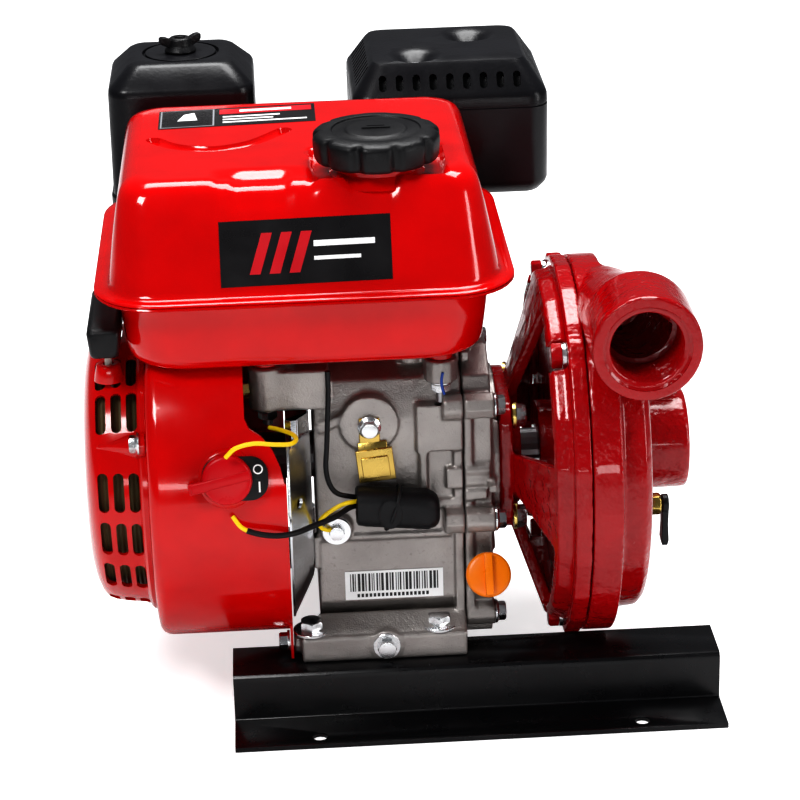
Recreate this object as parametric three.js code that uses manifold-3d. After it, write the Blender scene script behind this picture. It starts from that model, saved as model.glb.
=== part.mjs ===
// A portable fire pump: a small horizontal-shaft petrol engine that drives a cast-iron
// centrifugal pump through a bolted adapter, standing on two folded steel rails.
// Millimetres, +Z up. X runs along the crankshaft towards the pump, Y runs to the back.
// The engine frame has x = 0 on the power take-off face, y = 0 on the crank axis and
// z = 0 under the engine's feet. The whole group is then set down on the floor.

import * as THREE from 'three';
import { mergeVertices } from 'three/addons/utils/BufferGeometryUtils.js';
import Module from 'manifold-3d';

const wasm = await Module();
wasm.setup();

// ---- driving dimensions ----
const GAP = 0.3;                 // clearance between pieces that touch
const CRANK_Z = 106;             // crank axis above the feet

const RAIL_HEIGHT = 32;
const RAIL_FLANGE = 36;
const RAIL_SHEET = 3;
const RAIL_LENGTH = 288;
const RAIL_X = -17.5;            // middle of the front rail
const RAIL_FRONT_Y = -79.4;      // outer face of the front rail's web
const REAR_RAIL_LENGTH = 98;
const REAR_RAIL_X = -76;
const REAR_RAIL_WEB_Y = 126;
const RAIL_HOLE_X = [-112, 77];
const RAIL_HOLE_RADIUS = 4.5;

const FOOT_HEIGHT = 16;
const FOOT_BOLT_X = [-113.8, -38.3];
const FOOT_BOLT_Y = [-57, 105];
const FOOT_BOLT_RADIUS = 4;

const CASE_LEFT = -108;          // flywheel side wall of the crankcase
const SPLIT_X = -22;             // joint between crankcase and cover
const BARREL_X = -65;            // cylinder axis
const BARREL_TILT = 25 * Math.PI / 180;
const BORE_RADIUS = 34;

const BLOWER_LEFT = -203;
const BLOWER_RIGHT = -125;
const BLOWER_RADIUS = 104;
const BLOWER_TOP = 189;
const SHEET = 1.6;

const TANK = { x0: -219, x1: 0, y0: -80, y1: 107 };   // upper shell at its foot
const TANK_SEAM_Z = 235;
const TANK_TOP_Z = 296;
const TANK_BOTTOM_Z = 200;
const SUMP_Z = 191.5;            // lowest face of the tank, in front of the cylinder
const TANK_RIM = 9;                                  // flange beyond the shell
const CAP = { x: -66, y: -29, radius: 34.5 };

const PTO_SQUARE = 65;
const CASING_RADIUS = 113;
const CASING_SEAM_X = 47;
const SPIGOT_RADIUS = 26;        // the ports' short necks inside the casing
const CASING_FACE_X = 83;        // outer face of the casing's front wall
const NOZZLE_END_Y = -88;        // where the discharge port joins the volute's nozzle
const COCK = { y: -64, z: 92 };     // drain cock axis on the casing's outer wall
const CASING_BOLT_RADIUS = 103;
const CASING_BOLT_ANGLES = [52, 115, 178, 236, 295];
const SUCTION = { face: 115, outer: 30, bore: 21 };
const DISCHARGE = { x: 77, z: 207, face: -110, outer: 31, bore: 21.5 };

// ---- geometry helpers ----
const V2 = (x, y) => new THREE.Vector2(x, y);
const V3 = (x, y, z) => new THREE.Vector3(x, y, z);
const rad = (degrees) => degrees * Math.PI / 180;

// A closed three.js geometry as a manifold solid.
function solid(geometry) {
  const bare = geometry.index ? geometry : geometry.clone();
  bare.deleteAttribute('normal');
  bare.deleteAttribute('uv');
  const merged = mergeVertices(bare, 1e-4);
  const mesh = new wasm.Mesh({
    numProp: 3,
    vertProperties: new Float32Array(merged.attributes.position.array),
    triVerts: new Uint32Array(merged.index.array),
  });
  return new wasm.Manifold(mesh);
}

function geometryOf(manifold) {
  const mesh = manifold.getMesh();
  const geometry = new THREE.BufferGeometry();
  geometry.setAttribute('position', new THREE.BufferAttribute(mesh.vertProperties, 3));
  geometry.setIndex(new THREE.BufferAttribute(mesh.triVerts, 1));
  geometry.computeVertexNormals();
  return geometry;
}

const join = (...parts) => parts.reduce((sum, part) => sum.add(part));
const cut = (body, ...tools) => tools.reduce((rest, tool) => rest.subtract(tool), body);

function block(x0, x1, y0, y1, z0, z1) {
  const geometry = new THREE.BoxGeometry(x1 - x0, y1 - y0, z1 - z0);
  geometry.translate((x0 + x1) / 2, (y0 + y1) / 2, (z0 + z1) / 2);
  return solid(geometry);
}

// A round or many-sided bar between two points.
function bar(from, to, radius, sides = 16, endRadius = radius) {
  const direction = to.clone().sub(from);
  const geometry = new THREE.CylinderGeometry(endRadius, radius, direction.length(), sides);
  geometry.translate(0, direction.length() / 2, 0);
  const turn = new THREE.Quaternion().setFromUnitVectors(V3(0, 1, 0), direction.normalize());
  geometry.applyQuaternion(turn);
  geometry.translate(from.x, from.y, from.z);
  return solid(geometry);
}

const barX = (x0, x1, y, z, radius, sides) => bar(V3(x0, y, z), V3(x1, y, z), radius, sides);
const barY = (y0, y1, x, z, radius, sides) => bar(V3(x, y0, z), V3(x, y1, z), radius, sides);
const barZ = (z0, z1, x, y, radius, sides) => bar(V3(x, y, z0), V3(x, y, z1), radius, sides);

// A body of revolution about the crank axis: points are [radius, x].
function turned(points, sides = 40) {
  const closed = [...points, points[0]].map(([radius, x]) => V2(radius, x));
  const geometry = new THREE.LatheGeometry(closed, sides);
  geometry.rotateZ(-Math.PI / 2);
  geometry.translate(0, 0, CRANK_Z);
  return outward(geometry);
}

// The same skin with its faces turned to look outward.
function outward(geometry) {
  const body = solid(geometry);
  if (body.volume() > 0) return body;
  const index = geometry.index.array;
  for (let i = 0; i < index.length; i += 3) {
    const keep = index[i];
    index[i] = index[i + 1];
    index[i + 1] = keep;
  }
  return solid(geometry);
}

// A flat outline in the Y-Z plane, extruded along X.
function slab(shape, x0, x1, curveSegments = 8) {
  const geometry = new THREE.ExtrudeGeometry(shape, {
    depth: x1 - x0, bevelEnabled: false, curveSegments,
  });
  geometry.applyMatrix4(new THREE.Matrix4().makeBasis(V3(0, 1, 0), V3(0, 0, 1), V3(1, 0, 0)));
  geometry.translate(x0, 0, 0);
  return solid(geometry);
}

const outline = (points) => new THREE.Shape(points.map(([a, b]) => V2(a, b)));

function roundedRing(x0, x1, y0, y1, radius, steps = 3) {
  const ring = [];
  const corners = [[x1, y1, 0], [x0, y1, 90], [x0, y0, 180], [x1, y0, 270]];
  for (const [x, y, start] of corners) {
    const cx = x - Math.sign(x - (x0 + x1) / 2) * radius;
    const cy = y - Math.sign(y - (y0 + y1) / 2) * radius;
    for (let i = 0; i <= steps; i++) {
      const angle = rad(start + 90 * i / steps);
      ring.push([cx + radius * Math.cos(angle), cy + radius * Math.sin(angle)]);
    }
  }
  return ring;
}

function circleRing(a, b, radius, sides = 24) {
  return Array.from({ length: sides }, (_, i) => {
    const angle = 2 * Math.PI * i / sides;
    return [a + radius * Math.cos(angle), b + radius * Math.sin(angle)];
  });
}

// A skin through rings with the same number of points, closed by a fan at each end.
function loft(rings) {
  const count = rings[0].length;
  const points = rings.flat();
  const faces = [];
  for (let level = 0; level < rings.length - 1; level++) {
    for (let i = 0; i < count; i++) {
      const a = level * count + i;
      const b = level * count + (i + 1) % count;
      faces.push(a, b, b + count, a, b + count, a + count);
    }
  }
  const ends = [[0, true], [rings.length - 1, false]];
  for (const [level, isFirst] of ends) {
    const middle = rings[level].reduce((sum, point) => sum.add(point), V3(0, 0, 0));
    const centre = points.push(middle.divideScalar(count)) - 1;
    for (let i = 0; i < count; i++) {
      const a = level * count + i;
      const b = level * count + (i + 1) % count;
      faces.push(...(isFirst ? [b, a, centre] : [a, b, centre]));
    }
  }
  const geometry = new THREE.BufferGeometry().setFromPoints(points);
  geometry.setIndex(faces);
  return outward(geometry);
}

// A loft of rounded rectangles stacked in Z; a level is [z, inset, and where they differ
// the insets at the left, the front and the back].
function stacked(base, radius, levels) {
  const rings = levels.map(([z, inset, left = inset, front = inset, back = front]) => {
    const ring = roundedRing(
      base.x0 + left, base.x1 - inset, base.y0 + front, base.y1 - back, radius);
    return ring.map(([x, y]) => V3(x, y, z));
  });
  return loft(rings);
}

// A wire or rope through points chosen by hand.
function strand(points, diameter, stepsPerPoint = 2, sides = 8) {
  const curve = new THREE.CatmullRomCurve3(points.map(([x, y, z]) => V3(x, y, z)));
  const section = outline(circleRing(0, 0, diameter / 2, sides));
  const geometry = new THREE.ExtrudeGeometry(section, {
    steps: (points.length - 1) * stepsPerPoint, extrudePath: curve, bevelEnabled: false,
  });
  return solid(geometry);
}

// A hexagon-headed bolt: head, washer and shank from the seat along a direction.
function bolt(seat, direction, size) {
  const along = direction.clone().normalize();
  const at = (distance) => seat.clone().addScaledVector(along, distance);
  const washer = bar(at(0), at(-size.washerThick), size.washer, 16);
  const head = bar(at(-size.washerThick), at(-size.washerThick - size.headThick), size.head, 6);
  const shank = bar(at(-size.washerThick), at(size.length), size.shank, 8);
  return join(washer, head, shank);
}

// The point on the tilted cylinder axis at a distance from the crank axis.
function tilted(distance) {
  return V3(BARREL_X, 0, CRANK_Z).addScaledVector(
    V3(0, Math.cos(BARREL_TILT), Math.sin(BARREL_TILT)), distance);
}

// A box with cut corners along the tilted cylinder axis between two distances.
function alongBarrel(from, to, halfWidth, halfHeight, radius = 10) {
  const ring = roundedRing(-halfWidth, halfWidth, -halfHeight, halfHeight, radius, 1);
  const up = V3(0, -Math.sin(BARREL_TILT), Math.cos(BARREL_TILT));
  const place = (distance) => ring.map(([x, h]) =>
    tilted(distance).add(V3(x, 0, 0)).addScaledVector(up, h));
  return loft([place(to), place(from)]);
}

// ---- materials and nodes ----
const finish = {
  redGloss: [0xc4070c, 0.22, 0.0],
  redCast: [0xb30a12, 0.4, 0.0],
  castAluminium: [0x8d8783, 0.5, 0.85],
  blackSheet: [0x141416, 0.42, 0.3],
  blackPlastic: [0x1b1c1e, 0.5, 0.0],
  zinc: [0xc9ced2, 0.28, 1.0],
  steel: [0x777c82, 0.35, 1.0],
  brass: [0xb08d3c, 0.35, 1.0],
  orange: [0xff8a0a, 0.4, 0.0],
  yellow: [0xe8c818, 0.5, 0.0],
  rubber: [0x17181a, 0.75, 0.0],
  paper: [0xb59a6a, 0.9, 0.0],
};

function materialOf(name) {
  const [color, roughness, metalness] = finish[name];
  return new THREE.MeshStandardMaterial({ color, roughness, metalness });
}

const pump = new THREE.Group();
pump.name = 'portable_fire_pump';

function add(name, body, look) {
  const mesh = new THREE.Mesh(geometryOf(body), materialOf(look));
  mesh.name = name;
  pump.add(mesh);
}

// ---- rails and feet ----
// Z-section: top flange to the back, web, bottom flange to the front; mirrored when facing = -1.
function railSection(webY, facing) {
  const t = RAIL_SHEET;
  const outer = 4.5;
  const inner = outer - t;
  const shape = new THREE.Shape();
  const y = (value) => webY + facing * value;
  const h = RAIL_HEIGHT;
  shape.moveTo(y(RAIL_FLANGE), 0);
  shape.lineTo(y(outer), 0);
  shape.quadraticCurveTo(y(0), 0, y(0), -outer);
  shape.lineTo(y(0), -h + t + inner);
  shape.quadraticCurveTo(y(0), -h + t, y(-inner), -h + t);
  shape.lineTo(y(-RAIL_FLANGE + t), -h + t);
  shape.lineTo(y(-RAIL_FLANGE + t), -h);
  shape.lineTo(y(t - outer), -h);
  shape.quadraticCurveTo(y(t), -h, y(t), -h + outer);
  shape.lineTo(y(t), -t - inner);
  shape.quadraticCurveTo(y(t), -t, y(t + inner), -t);
  shape.lineTo(y(RAIL_FLANGE), -t);
  return shape;
}

function rail(middleX, length, webY, facing, footBoltY, floorHoles) {
  const body = slab(railSection(webY, facing), middleX - length / 2, middleX + length / 2, 3);
  const top = FOOT_BOLT_X.map((x) => barZ(-6, 2, x, footBoltY, FOOT_BOLT_RADIUS + 0.5, 12));
  const low = -RAIL_HEIGHT;
  const floor = floorHoles.map((x) =>
    barZ(low - 1, low + 5, x, webY - facing * 24, RAIL_HOLE_RADIUS, 12));
  return cut(body, ...top, ...floor);
}

add('front_rail',
  rail(RAIL_X, RAIL_LENGTH, RAIL_FRONT_Y, 1, FOOT_BOLT_Y[0], RAIL_HOLE_X), 'blackSheet');
add('rear_rail',
  rail(REAR_RAIL_X, REAR_RAIL_LENGTH, REAR_RAIL_WEB_Y, -1, FOOT_BOLT_Y[1], []), 'blackSheet');

const FOOT_BOLT = { washer: 11, washerThick: 1.8, head: 7.4, headThick: 5.5, shank: 4, length: 30 };

function footBolt(x, y) {
  const under = -RAIL_SHEET - GAP;
  const body = bolt(V3(x, y, FOOT_HEIGHT + GAP), V3(0, 0, -1), FOOT_BOLT);
  return join(body, barZ(under - 6.5, under, x, y, 7.4, 6));
}

for (const [row, y] of FOOT_BOLT_Y.entries()) {
  for (const [side, x] of FOOT_BOLT_X.entries()) {
    const name = `foot_bolt_${['front', 'rear'][row]}_${['left', 'right'][side]}`;
    add(name, footBolt(x, y), 'zinc');
  }
}

// ---- crankcase with cylinder barrel ----
const CASE_OUTLINE = [
  [-43, 4], [-43, 20], [-52, 32], [-52, 148], [-44, 170], [-20, 180], [28, 180], [66, 160],
  [70, 100], [66, 4],
];
const CASE_CAVITY = [
  [-37, 11], [-37, 26], [-46, 38], [-46, 142], [-38, 162], [-18, 172], [24, 172], [56, 156],
  [58, 11],
];
const COVER_BOLTS = [[-57, 156], [-57, 84], [-48, 19], [68, 150], [74, 84], [70, 19]];
const TAB_BOLT = { y: -52, z: 7.8 };             // the blower housing's lower fixing
const TANK_LUGS = { left: { x: -134, y: -53 }, right: { x: -34, y: -53 } };
const LUG_TOP = 186;
const LUG_BOTTOM = { left: 160, right: 172 };

function crankcase() {
  let body = slab(outline(CASE_OUTLINE), CASE_LEFT, SPLIT_X);
  body = join(body,
    bar(tilted(40), tilted(126), BORE_RADIUS + 8, 16),
    alongBarrel(118, 126, 42.5, 46));
  for (const distance of [86, 97, 108]) {
    body = join(body, alongBarrel(distance, distance + 2.6, 42.5, 50));
  }
  body = join(body,
    block(-120, SPLIT_X, -67, -38, 0, FOOT_HEIGHT),
    block(-120, SPLIT_X, 60, 120, 0, FOOT_HEIGHT),
    barX(BLOWER_RIGHT + GAP, -118, TAB_BOLT.y, TAB_BOLT.z, 7.5, 12),
    block(-49, SPLIT_X, -57, -40, 128, 157),
    barZ(LUG_BOTTOM.right, LUG_TOP, TANK_LUGS.right.x, TANK_LUGS.right.y, 10, 12),
    block(-43, -25, -53, -30, LUG_BOTTOM.right, LUG_TOP - 3),
    barZ(LUG_BOTTOM.left, LUG_TOP, TANK_LUGS.left.x, TANK_LUGS.left.y, 10.5, 12),
    block(-134, -98, -62, -38, LUG_BOTTOM.left, LUG_TOP - 2));
  for (const [y, z] of COVER_BOLTS) {
    body = join(body, barX(z < 40 ? -26 : -34, SPLIT_X, y, z, 8, 8));
  }
  body = cut(body,
    slab(outline(CASE_CAVITY), CASE_LEFT + 7, SPLIT_X + 1),
    bar(tilted(30), tilted(127), BORE_RADIUS, 20),
    barX(CASE_LEFT - 1, CASE_LEFT + 8, 0, CRANK_Z, 17, 20),
    barY(-70, -36, -70, 9.5, 5.2, 8));
  for (const x of FOOT_BOLT_X) {
    for (const y of FOOT_BOLT_Y) {
      body = cut(body, barZ(-1, FOOT_HEIGHT + 1, x, y, FOOT_BOLT_RADIUS + 0.6, 8));
    }
  }
  for (const lug of Object.values(TANK_LUGS)) {
    body = cut(body, barZ(145, LUG_TOP + 1, lug.x, lug.y, 3.6, 8));
  }
  return body;
}

add('crankcase', crankcase(), 'castAluminium');

// ---- crankcase cover with the oil filler ----
const FILLER_AXIS = V3(0, -Math.cos(rad(30)), Math.sin(rad(30)));
const FILLER_SEAT = V3(-9.5, -65.5, 51.5);
const fillerPoint = (distance) => FILLER_SEAT.clone().addScaledVector(FILLER_AXIS, distance);

function crankcaseCover() {
  const left = SPLIT_X + GAP;
  let body = join(
    slab(outline(CASE_OUTLINE), left, -5),
    barX(-6, 0, 0, CRANK_Z, 50, 20));
  for (const [y, z] of COVER_BOLTS) {
    body = join(body, barX(left, -4, y, z, 8, 8));
  }
  body = join(body, bar(fillerPoint(-22), fillerPoint(0), 11, 20));
  body = cut(body,
    slab(outline(CASE_CAVITY), left - 1, -11),
    bar(fillerPoint(-30), fillerPoint(1), 7.5, 16),
    bar(fillerPoint(-44), fillerPoint(-28), 3, 8),
    barX(-12, 1, 0, CRANK_Z, 12, 16));
  const half = PTO_SQUARE / 2;
  for (const y of [-half, half]) {
    for (const z of [CRANK_Z - half, CRANK_Z + half]) {
      body = cut(body, barX(-4, 1, y, z, 4, 12));
    }
  }
  return body;
}

add('crankcase_cover', crankcaseCover(), 'castAluminium');

// ---- dipstick cap, its seal and the drain plug ----
function dipstick() {
  const gripAcross = V3(0, Math.sin(rad(30)), Math.cos(rad(30)));
  const grip = (side) => fillerPoint(9).addScaledVector(gripAcross, side);
  return join(
    bar(fillerPoint(2.6), fillerPoint(9), 13, 20, 12.2),
    bar(grip(-11), grip(11), 3.4, 8),
    bar(fillerPoint(-14), fillerPoint(3), 6.9, 16),
    bar(fillerPoint(-42), fillerPoint(-13), 2.2, 8));
}

function oilSeal() {
  return cut(
    bar(fillerPoint(0.3), fillerPoint(2.3), 11, 16),
    bar(fillerPoint(-1), fillerPoint(4), 7.3, 16));
}

add('dipstick', dipstick(), 'orange');
add('dipstick_seal', oilSeal(), 'rubber');
add('drain_plug', bolt(V3(-70, -67 - GAP, 9.5), V3(0, 1, 0),
  { washer: 8.2, washerThick: 1.6, head: 6.6, headThick: 5, shank: 4.6, length: 14 }), 'zinc');

// ---- cylinder head, rocker cover, spark plug ----
const HEAD_FROM = 126.3;
const HEAD_TO = 156;
const HEAD_HALF = 46;
const PORT_AT = 142;             // inlet and exhaust ports, along the barrel

function cylinderHead() {
  let body = alongBarrel(HEAD_FROM, HEAD_TO, HEAD_HALF - 2, 42);
  for (const distance of [131, 143]) {
    body = join(body, alongBarrel(distance, distance + 2.8, HEAD_HALF, 48));
  }
  const port = tilted(PORT_AT);
  body = join(body, alongBarrel(PORT_AT - 13, PORT_AT + 13, HEAD_HALF, 17, 3));
  return cut(body,
    bar(tilted(HEAD_FROM - 1), tilted(HEAD_FROM + 9), BORE_RADIUS, 20),
    barX(BARREL_X - HEAD_HALF - 1, BARREL_X - 16, port.y, port.z, 9.5, 12),
    barX(BARREL_X + 16, BARREL_X + HEAD_HALF + 1, port.y, port.z, 9.5, 12),
    bar(plugPoint(0), plugPoint(70), 6.5, 8),
    bar(plugPoint(43), plugPoint(80), 11.5, 12));
}

const PLUG_AXIS = V3(-0.8, -0.12, 0.55).normalize();
const plugPoint = (distance) => tilted(137).addScaledVector(PLUG_AXIS, distance);

add('cylinder_head', cylinderHead(), 'castAluminium');
add('rocker_cover', cut(
  alongBarrel(HEAD_TO + GAP, HEAD_TO + 30, 38, 36, 12),
  alongBarrel(HEAD_TO - 1, HEAD_TO + 27, 35, 33, 10)), 'blackSheet');
add('spark_plug', join(
  bar(plugPoint(18), plugPoint(52), 5.5, 12),
  bar(plugPoint(46), plugPoint(54), 9, 6),
  bar(plugPoint(50), plugPoint(68), 4.5, 12)), 'steel');
add('spark_plug_cap', cut(
  join(
    bar(plugPoint(56), plugPoint(78), 8, 16),
    bar(plugPoint(72), plugPoint(72).add(V3(-8, 12, -14)), 5, 12)),
  bar(plugPoint(55), plugPoint(69), 4.9, 16)), 'rubber');

// ---- rotating parts ----
const axisBar = (x0, x1, radius, sides = 16) => barX(x0, x1, 0, CRANK_Z, radius, sides);

function crankshaft() {
  const pinZ = CRANK_Z + 27;
  return join(
    axisBar(-207, -150, 10),
    axisBar(-151, -98, 14),
    axisBar(-99, -82, 36),
    barX(-83, -47, 0, pinZ, 14, 24),
    axisBar(-48, -33, 36),
    axisBar(-34, -11, 11),
    axisBar(-12, 70, 9.5),
    axisBar(-212, -206, 9, 6));
}

function flywheelFan() {
  let body = join(axisBar(-176, -152, 78, 28), axisBar(-196, -175, 34, 16));
  const blades = 10;
  for (let i = 0; i < blades; i++) {
    const angle = 360 * i / blades;
    const across = V3(0, Math.cos(rad(angle)), Math.sin(rad(angle)));
    const lead = V3(0, Math.cos(rad(angle + 14)), Math.sin(rad(angle + 14)));
    const at = (direction, reach, x) => V3(x, 0, CRANK_Z).addScaledVector(direction, reach);
    const side = V3(0, -across.z, across.y).multiplyScalar(1.5);
    const foot = [at(across, 40, -196), at(lead, 76, -196), at(lead, 76, -175), at(across, 40, -175)];
    const near = foot.map((point) => point.clone().add(side));
    const far = foot.map((point) => point.clone().sub(side));
    body = join(body, loft([near, far]));
  }
  return cut(body, axisBar(-200, -174, 10.3), axisBar(-175, -151, 10.3));
}

add('crankshaft', crankshaft(), 'steel');
add('flywheel_fan', flywheelFan(), 'castAluminium');
function ringOnCrank(x0, x1, inner, outer) {
  return cut(axisBar(x0, x1, outer), axisBar(x0 - 1, x1 + 1, inner));
}

add('pto_oil_seal', ringOnCrank(-10, -3, 9.9, 11.7), 'rubber');

// ---- blower housing, side shield and recoil starter ----
function blowerOutline(radius, top, duct) {
  const start = Math.acos((top - CRANK_Z) / radius) + Math.PI / 2;
  const steps = 20;
  const arc = Array.from({ length: steps + 1 }, (_, i) => {
    const angle = start + (rad(300) - start) * i / steps;
    return [radius * Math.cos(angle), CRANK_Z + radius * Math.sin(angle)];
  });
  return outline([[duct.y, top], ...arc, [duct.y, duct.z]]);
}

function blowerHousing() {
  const outer = slab(blowerOutline(BLOWER_RADIUS, BLOWER_TOP, { y: 112, z: 78 }),
    BLOWER_LEFT, BLOWER_RIGHT);
  const inner = slab(
    blowerOutline(BLOWER_RADIUS - SHEET, BLOWER_TOP - SHEET, { y: 112 - SHEET, z: 78 }),
    BLOWER_LEFT + SHEET, BLOWER_RIGHT + 1);
  const pad = bar(switchPoint(-6), switchPoint(0), 19, 24);
  const shell = cut(outer, inner, turned([[0, -204], [76, -204], [76, -200], [0, -200]], 24));
  const tab = block(BLOWER_RIGHT - SHEET, BLOWER_RIGHT, -62, -43, 1, 28);
  const notch = slab(
    outline([[-110, 160], [-110, 200], [-36, 200], [-36, 160]]), -147, BLOWER_RIGHT + 5);
  const notchFoot = slab(outline([[-110, 136], [-110, 161], [-36, 161], [-36, 136]]), -131,
    BLOWER_RIGHT + 5);
  const tabHole = barX(-130, -120, TAB_BOLT.y, TAB_BOLT.z, 3.4, 8);
  return cut(join(shell, pad, tab), notch, notchFoot, tabHole);
}

const SWITCH_X = -158;
const KNOB_TURN = rad(12);       // slope of the knob's grip bar
const SWITCH_ANGLE = rad(17);
const SWITCH_AXIS = V3(0, -Math.cos(SWITCH_ANGLE), Math.sin(SWITCH_ANGLE));
const switchPoint = (distance) =>
  V3(SWITCH_X, 0, CRANK_Z).addScaledVector(SWITCH_AXIS, BLOWER_RADIUS + 1 + distance);

function sideShield() {
  const dish = turned([
    [97, -124.2], [97, -122.7], [72, -110.5], [40, -110.5], [40, -112], [71, -112], [95, -124.2],
  ], 26);
  return cut(dish,
    block(-147, -98, -86, -36, 146, 190),
    block(-130, -98, -120, 120, BLOWER_TOP - 2, 210),
    block(-131, -98, -70, -36, 0, 21),
    block(-131, -98, 58, 122, 0, 18));
}

const RECOIL_END = -241;
const RECOIL_PROFILE = [
  [88, BLOWER_LEFT - GAP], [88, -206.5], [84, -208], [81.5, -229], [75, -235.5], [62, -240],
  [46, RECOIL_END],
];
const RECOIL_ARMS = [30, 150, 270];
const RECOIL_FACETS = 21;
const SLOT_ROWS = [-3, -2, -1, 1, 2];           // facets counted from the nearest arm

function recoilSlots() {
  const tools = [];
  for (const arm of RECOIL_ARMS) {
    for (const row of SLOT_ROWS) {
      const angle = rad(arm + row * 360 / RECOIL_FACETS);
      const outward = V3(0, -Math.cos(angle), Math.sin(angle));
      const across = V3(0, Math.sin(angle), Math.cos(angle));
      for (const x of [-226.5, -219.5, -212.5]) {
        const half = 10.5;
        const ring = [[x - 2.1, -half], [x + 2.1, -half], [x + 2.1, half], [x - 2.1, half]];
        const place = (reach) => ring.map(([a, b]) => V3(a, 0, CRANK_Z)
          .addScaledVector(outward, reach).addScaledVector(across, b));
        tools.push(loft([place(60), place(95)]));
      }
    }
  }
  return tools;
}

function recoilCover() {
  const wall = 2;
  const inner = RECOIL_PROFILE.map(([radius, x]) => [radius - wall, x + wall]).reverse();
  inner[inner.length - 1] = [RECOIL_PROFILE[0][0] - 11, RECOIL_PROFILE[0][1]];
  const shell = turned([
    ...RECOIL_PROFILE, [0, RECOIL_END], [0, RECOIL_END + wall], ...inner,
  ], RECOIL_FACETS);
  const post = axisBar(RECOIL_END + 1, -216, 8, 12);
  const ears = RECOIL_ARMS.map((arm) => {
    const y = -87 * Math.cos(rad(arm));
    const z = CRANK_Z + 87 * Math.sin(rad(arm));
    return barX(-214, BLOWER_LEFT - GAP, y, z, 7, 10);
  });
  const guide = barZ(173, 190, ROPE_X, ROPE_Y, 7.5, 12);
  return cut(join(shell, post, guide, ...ears),
    ...recoilSlots(), barZ(150, 195, ROPE_X, ROPE_Y, 3.2, 10));
}

const ROPE_X = -223.5;
const REEL_RADIUS = 46;
const REEL_GROOVE = 38;
const ROPE_RADIUS = 2.2;
const GRIP_Z = 208;              // centre height of the starter handle
const ROPE_Y = -(REEL_GROOVE + ROPE_RADIUS + GAP);

function starterReel() {
  const side = 6.5;
  const x = (offset) => ROPE_X + offset;
  return turned([
    [8.6, x(-side)], [REEL_RADIUS, x(-side)], [REEL_RADIUS, x(-4.5)], [REEL_GROOVE, x(-3.5)],
    [REEL_GROOVE, x(3.5)], [REEL_RADIUS, x(4.5)], [REEL_RADIUS, x(side)], [8.6, x(side)],
  ], 18);
}

function starterGrip() {
  const rings = [[-70, 1.5], [-67, 0], [-1, 0], [2, 1.5]].map(([y, inset]) =>
    [[-9.5, 9], [9.5, 9], [8, -9], [-8, -9]].map(([x, z]) =>
      V3(ROPE_X + x - Math.sign(x) * inset, y, GRIP_Z + z - Math.sign(z) * inset)));
  return cut(loft(rings), barZ(GRIP_Z - 10, GRIP_Z + 3.5, ROPE_X, ROPE_Y, 2.9, 10));
}

add('blower_housing', blowerHousing(), 'redGloss');
add('side_shield', sideShield(), 'zinc');
add('recoil_cover', recoilCover(), 'redGloss');
add('starter_reel', starterReel(), 'blackPlastic');
add('starter_grip', starterGrip(), 'blackPlastic');
add('starter_rope', barZ(CRANK_Z + 4, GRIP_Z + 3, ROPE_X, ROPE_Y, ROPE_RADIUS, 8), 'paper');

// ---- stop switch ----
function switchPlate() {
  const across = V3(0, Math.sin(SWITCH_ANGLE), Math.cos(SWITCH_ANGLE));
  const ring = roundedRing(-14, 23, -12.5, 12.5, 10, 4);
  const place = (reach) => ring.map(([x, b]) =>
    switchPoint(reach).add(V3(x, 0, 0)).addScaledVector(across, b));
  return join(loft([place(GAP), place(2.3)]), bar(switchPoint(2), switchPoint(5), 5, 10));
}

function stopKnob() {
  const across = V3(1, 0, 0).multiplyScalar(Math.cos(KNOB_TURN))
    .add(V3(0, Math.sin(SWITCH_ANGLE), Math.cos(SWITCH_ANGLE)).multiplyScalar(Math.sin(KNOB_TURN)));
  const end = (reach, height) => switchPoint(height).addScaledVector(across, reach);
  return cut(
    join(
      bar(switchPoint(2.8), switchPoint(8.5), 14, 18, 13),
      bar(end(-21, 9), end(13, 9), 3, 8)),
    bar(switchPoint(2), switchPoint(5.4), 5.3, 10));
}

add('stop_switch_plate', switchPlate(), 'blackPlastic');
add('stop_switch_knob', stopKnob(), 'redGloss');

// ---- fuel tank ----
const UPPER_LEVELS = [
  [TANK_SEAM_Z + 1.6, 0, 0, 0, 0], [262, 4, 3, 9, 0.5], [279, 7.5, 5.7, 17, 1],
  [288, 10, 8, 22, 2], [293.5, 13, 11, 26, 5], [TANK_TOP_Z, 21, 19, 34, 11],
];
const LOWER_LEVELS = [
  [TANK_BOTTOM_Z, 15.5, 14, 11, 19], [202.5, 11, 9.5, 5, 13], [209, 9, 7.5, 3, 11],
  [TANK_SEAM_Z - 1.2, 5, 4, 2, 10],
];
const SUMP = { x0: TANK.x0 + 5, x1: TANK.x1, y0: TANK.y0, y1: 36 };
const SUMP_LEVELS = [
  [SUMP_Z, 17, 15.5, 11, 11], [194, 12.5, 11, 5, 5], [199, 10.5, 9, 3.5, 3.5],
  [214, 9, 7.5, 3, 3],
];
// The same levels one sheet thickness further in, and open at the end that reaches the seam.
const hollowed = (levels, seamZ, lift) => levels.map(([z, ...insets]) =>
  [Math.abs(z - TANK_SEAM_Z) < 2 ? seamZ : z + lift, ...insets.map((inset) => inset + SHEET)]);
const rimBase = {
  x0: TANK.x0 - TANK_RIM, x1: TANK.x1 + TANK_RIM, y0: TANK.y0 - TANK_RIM, y1: TANK.y1 + TANK_RIM,
};

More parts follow.
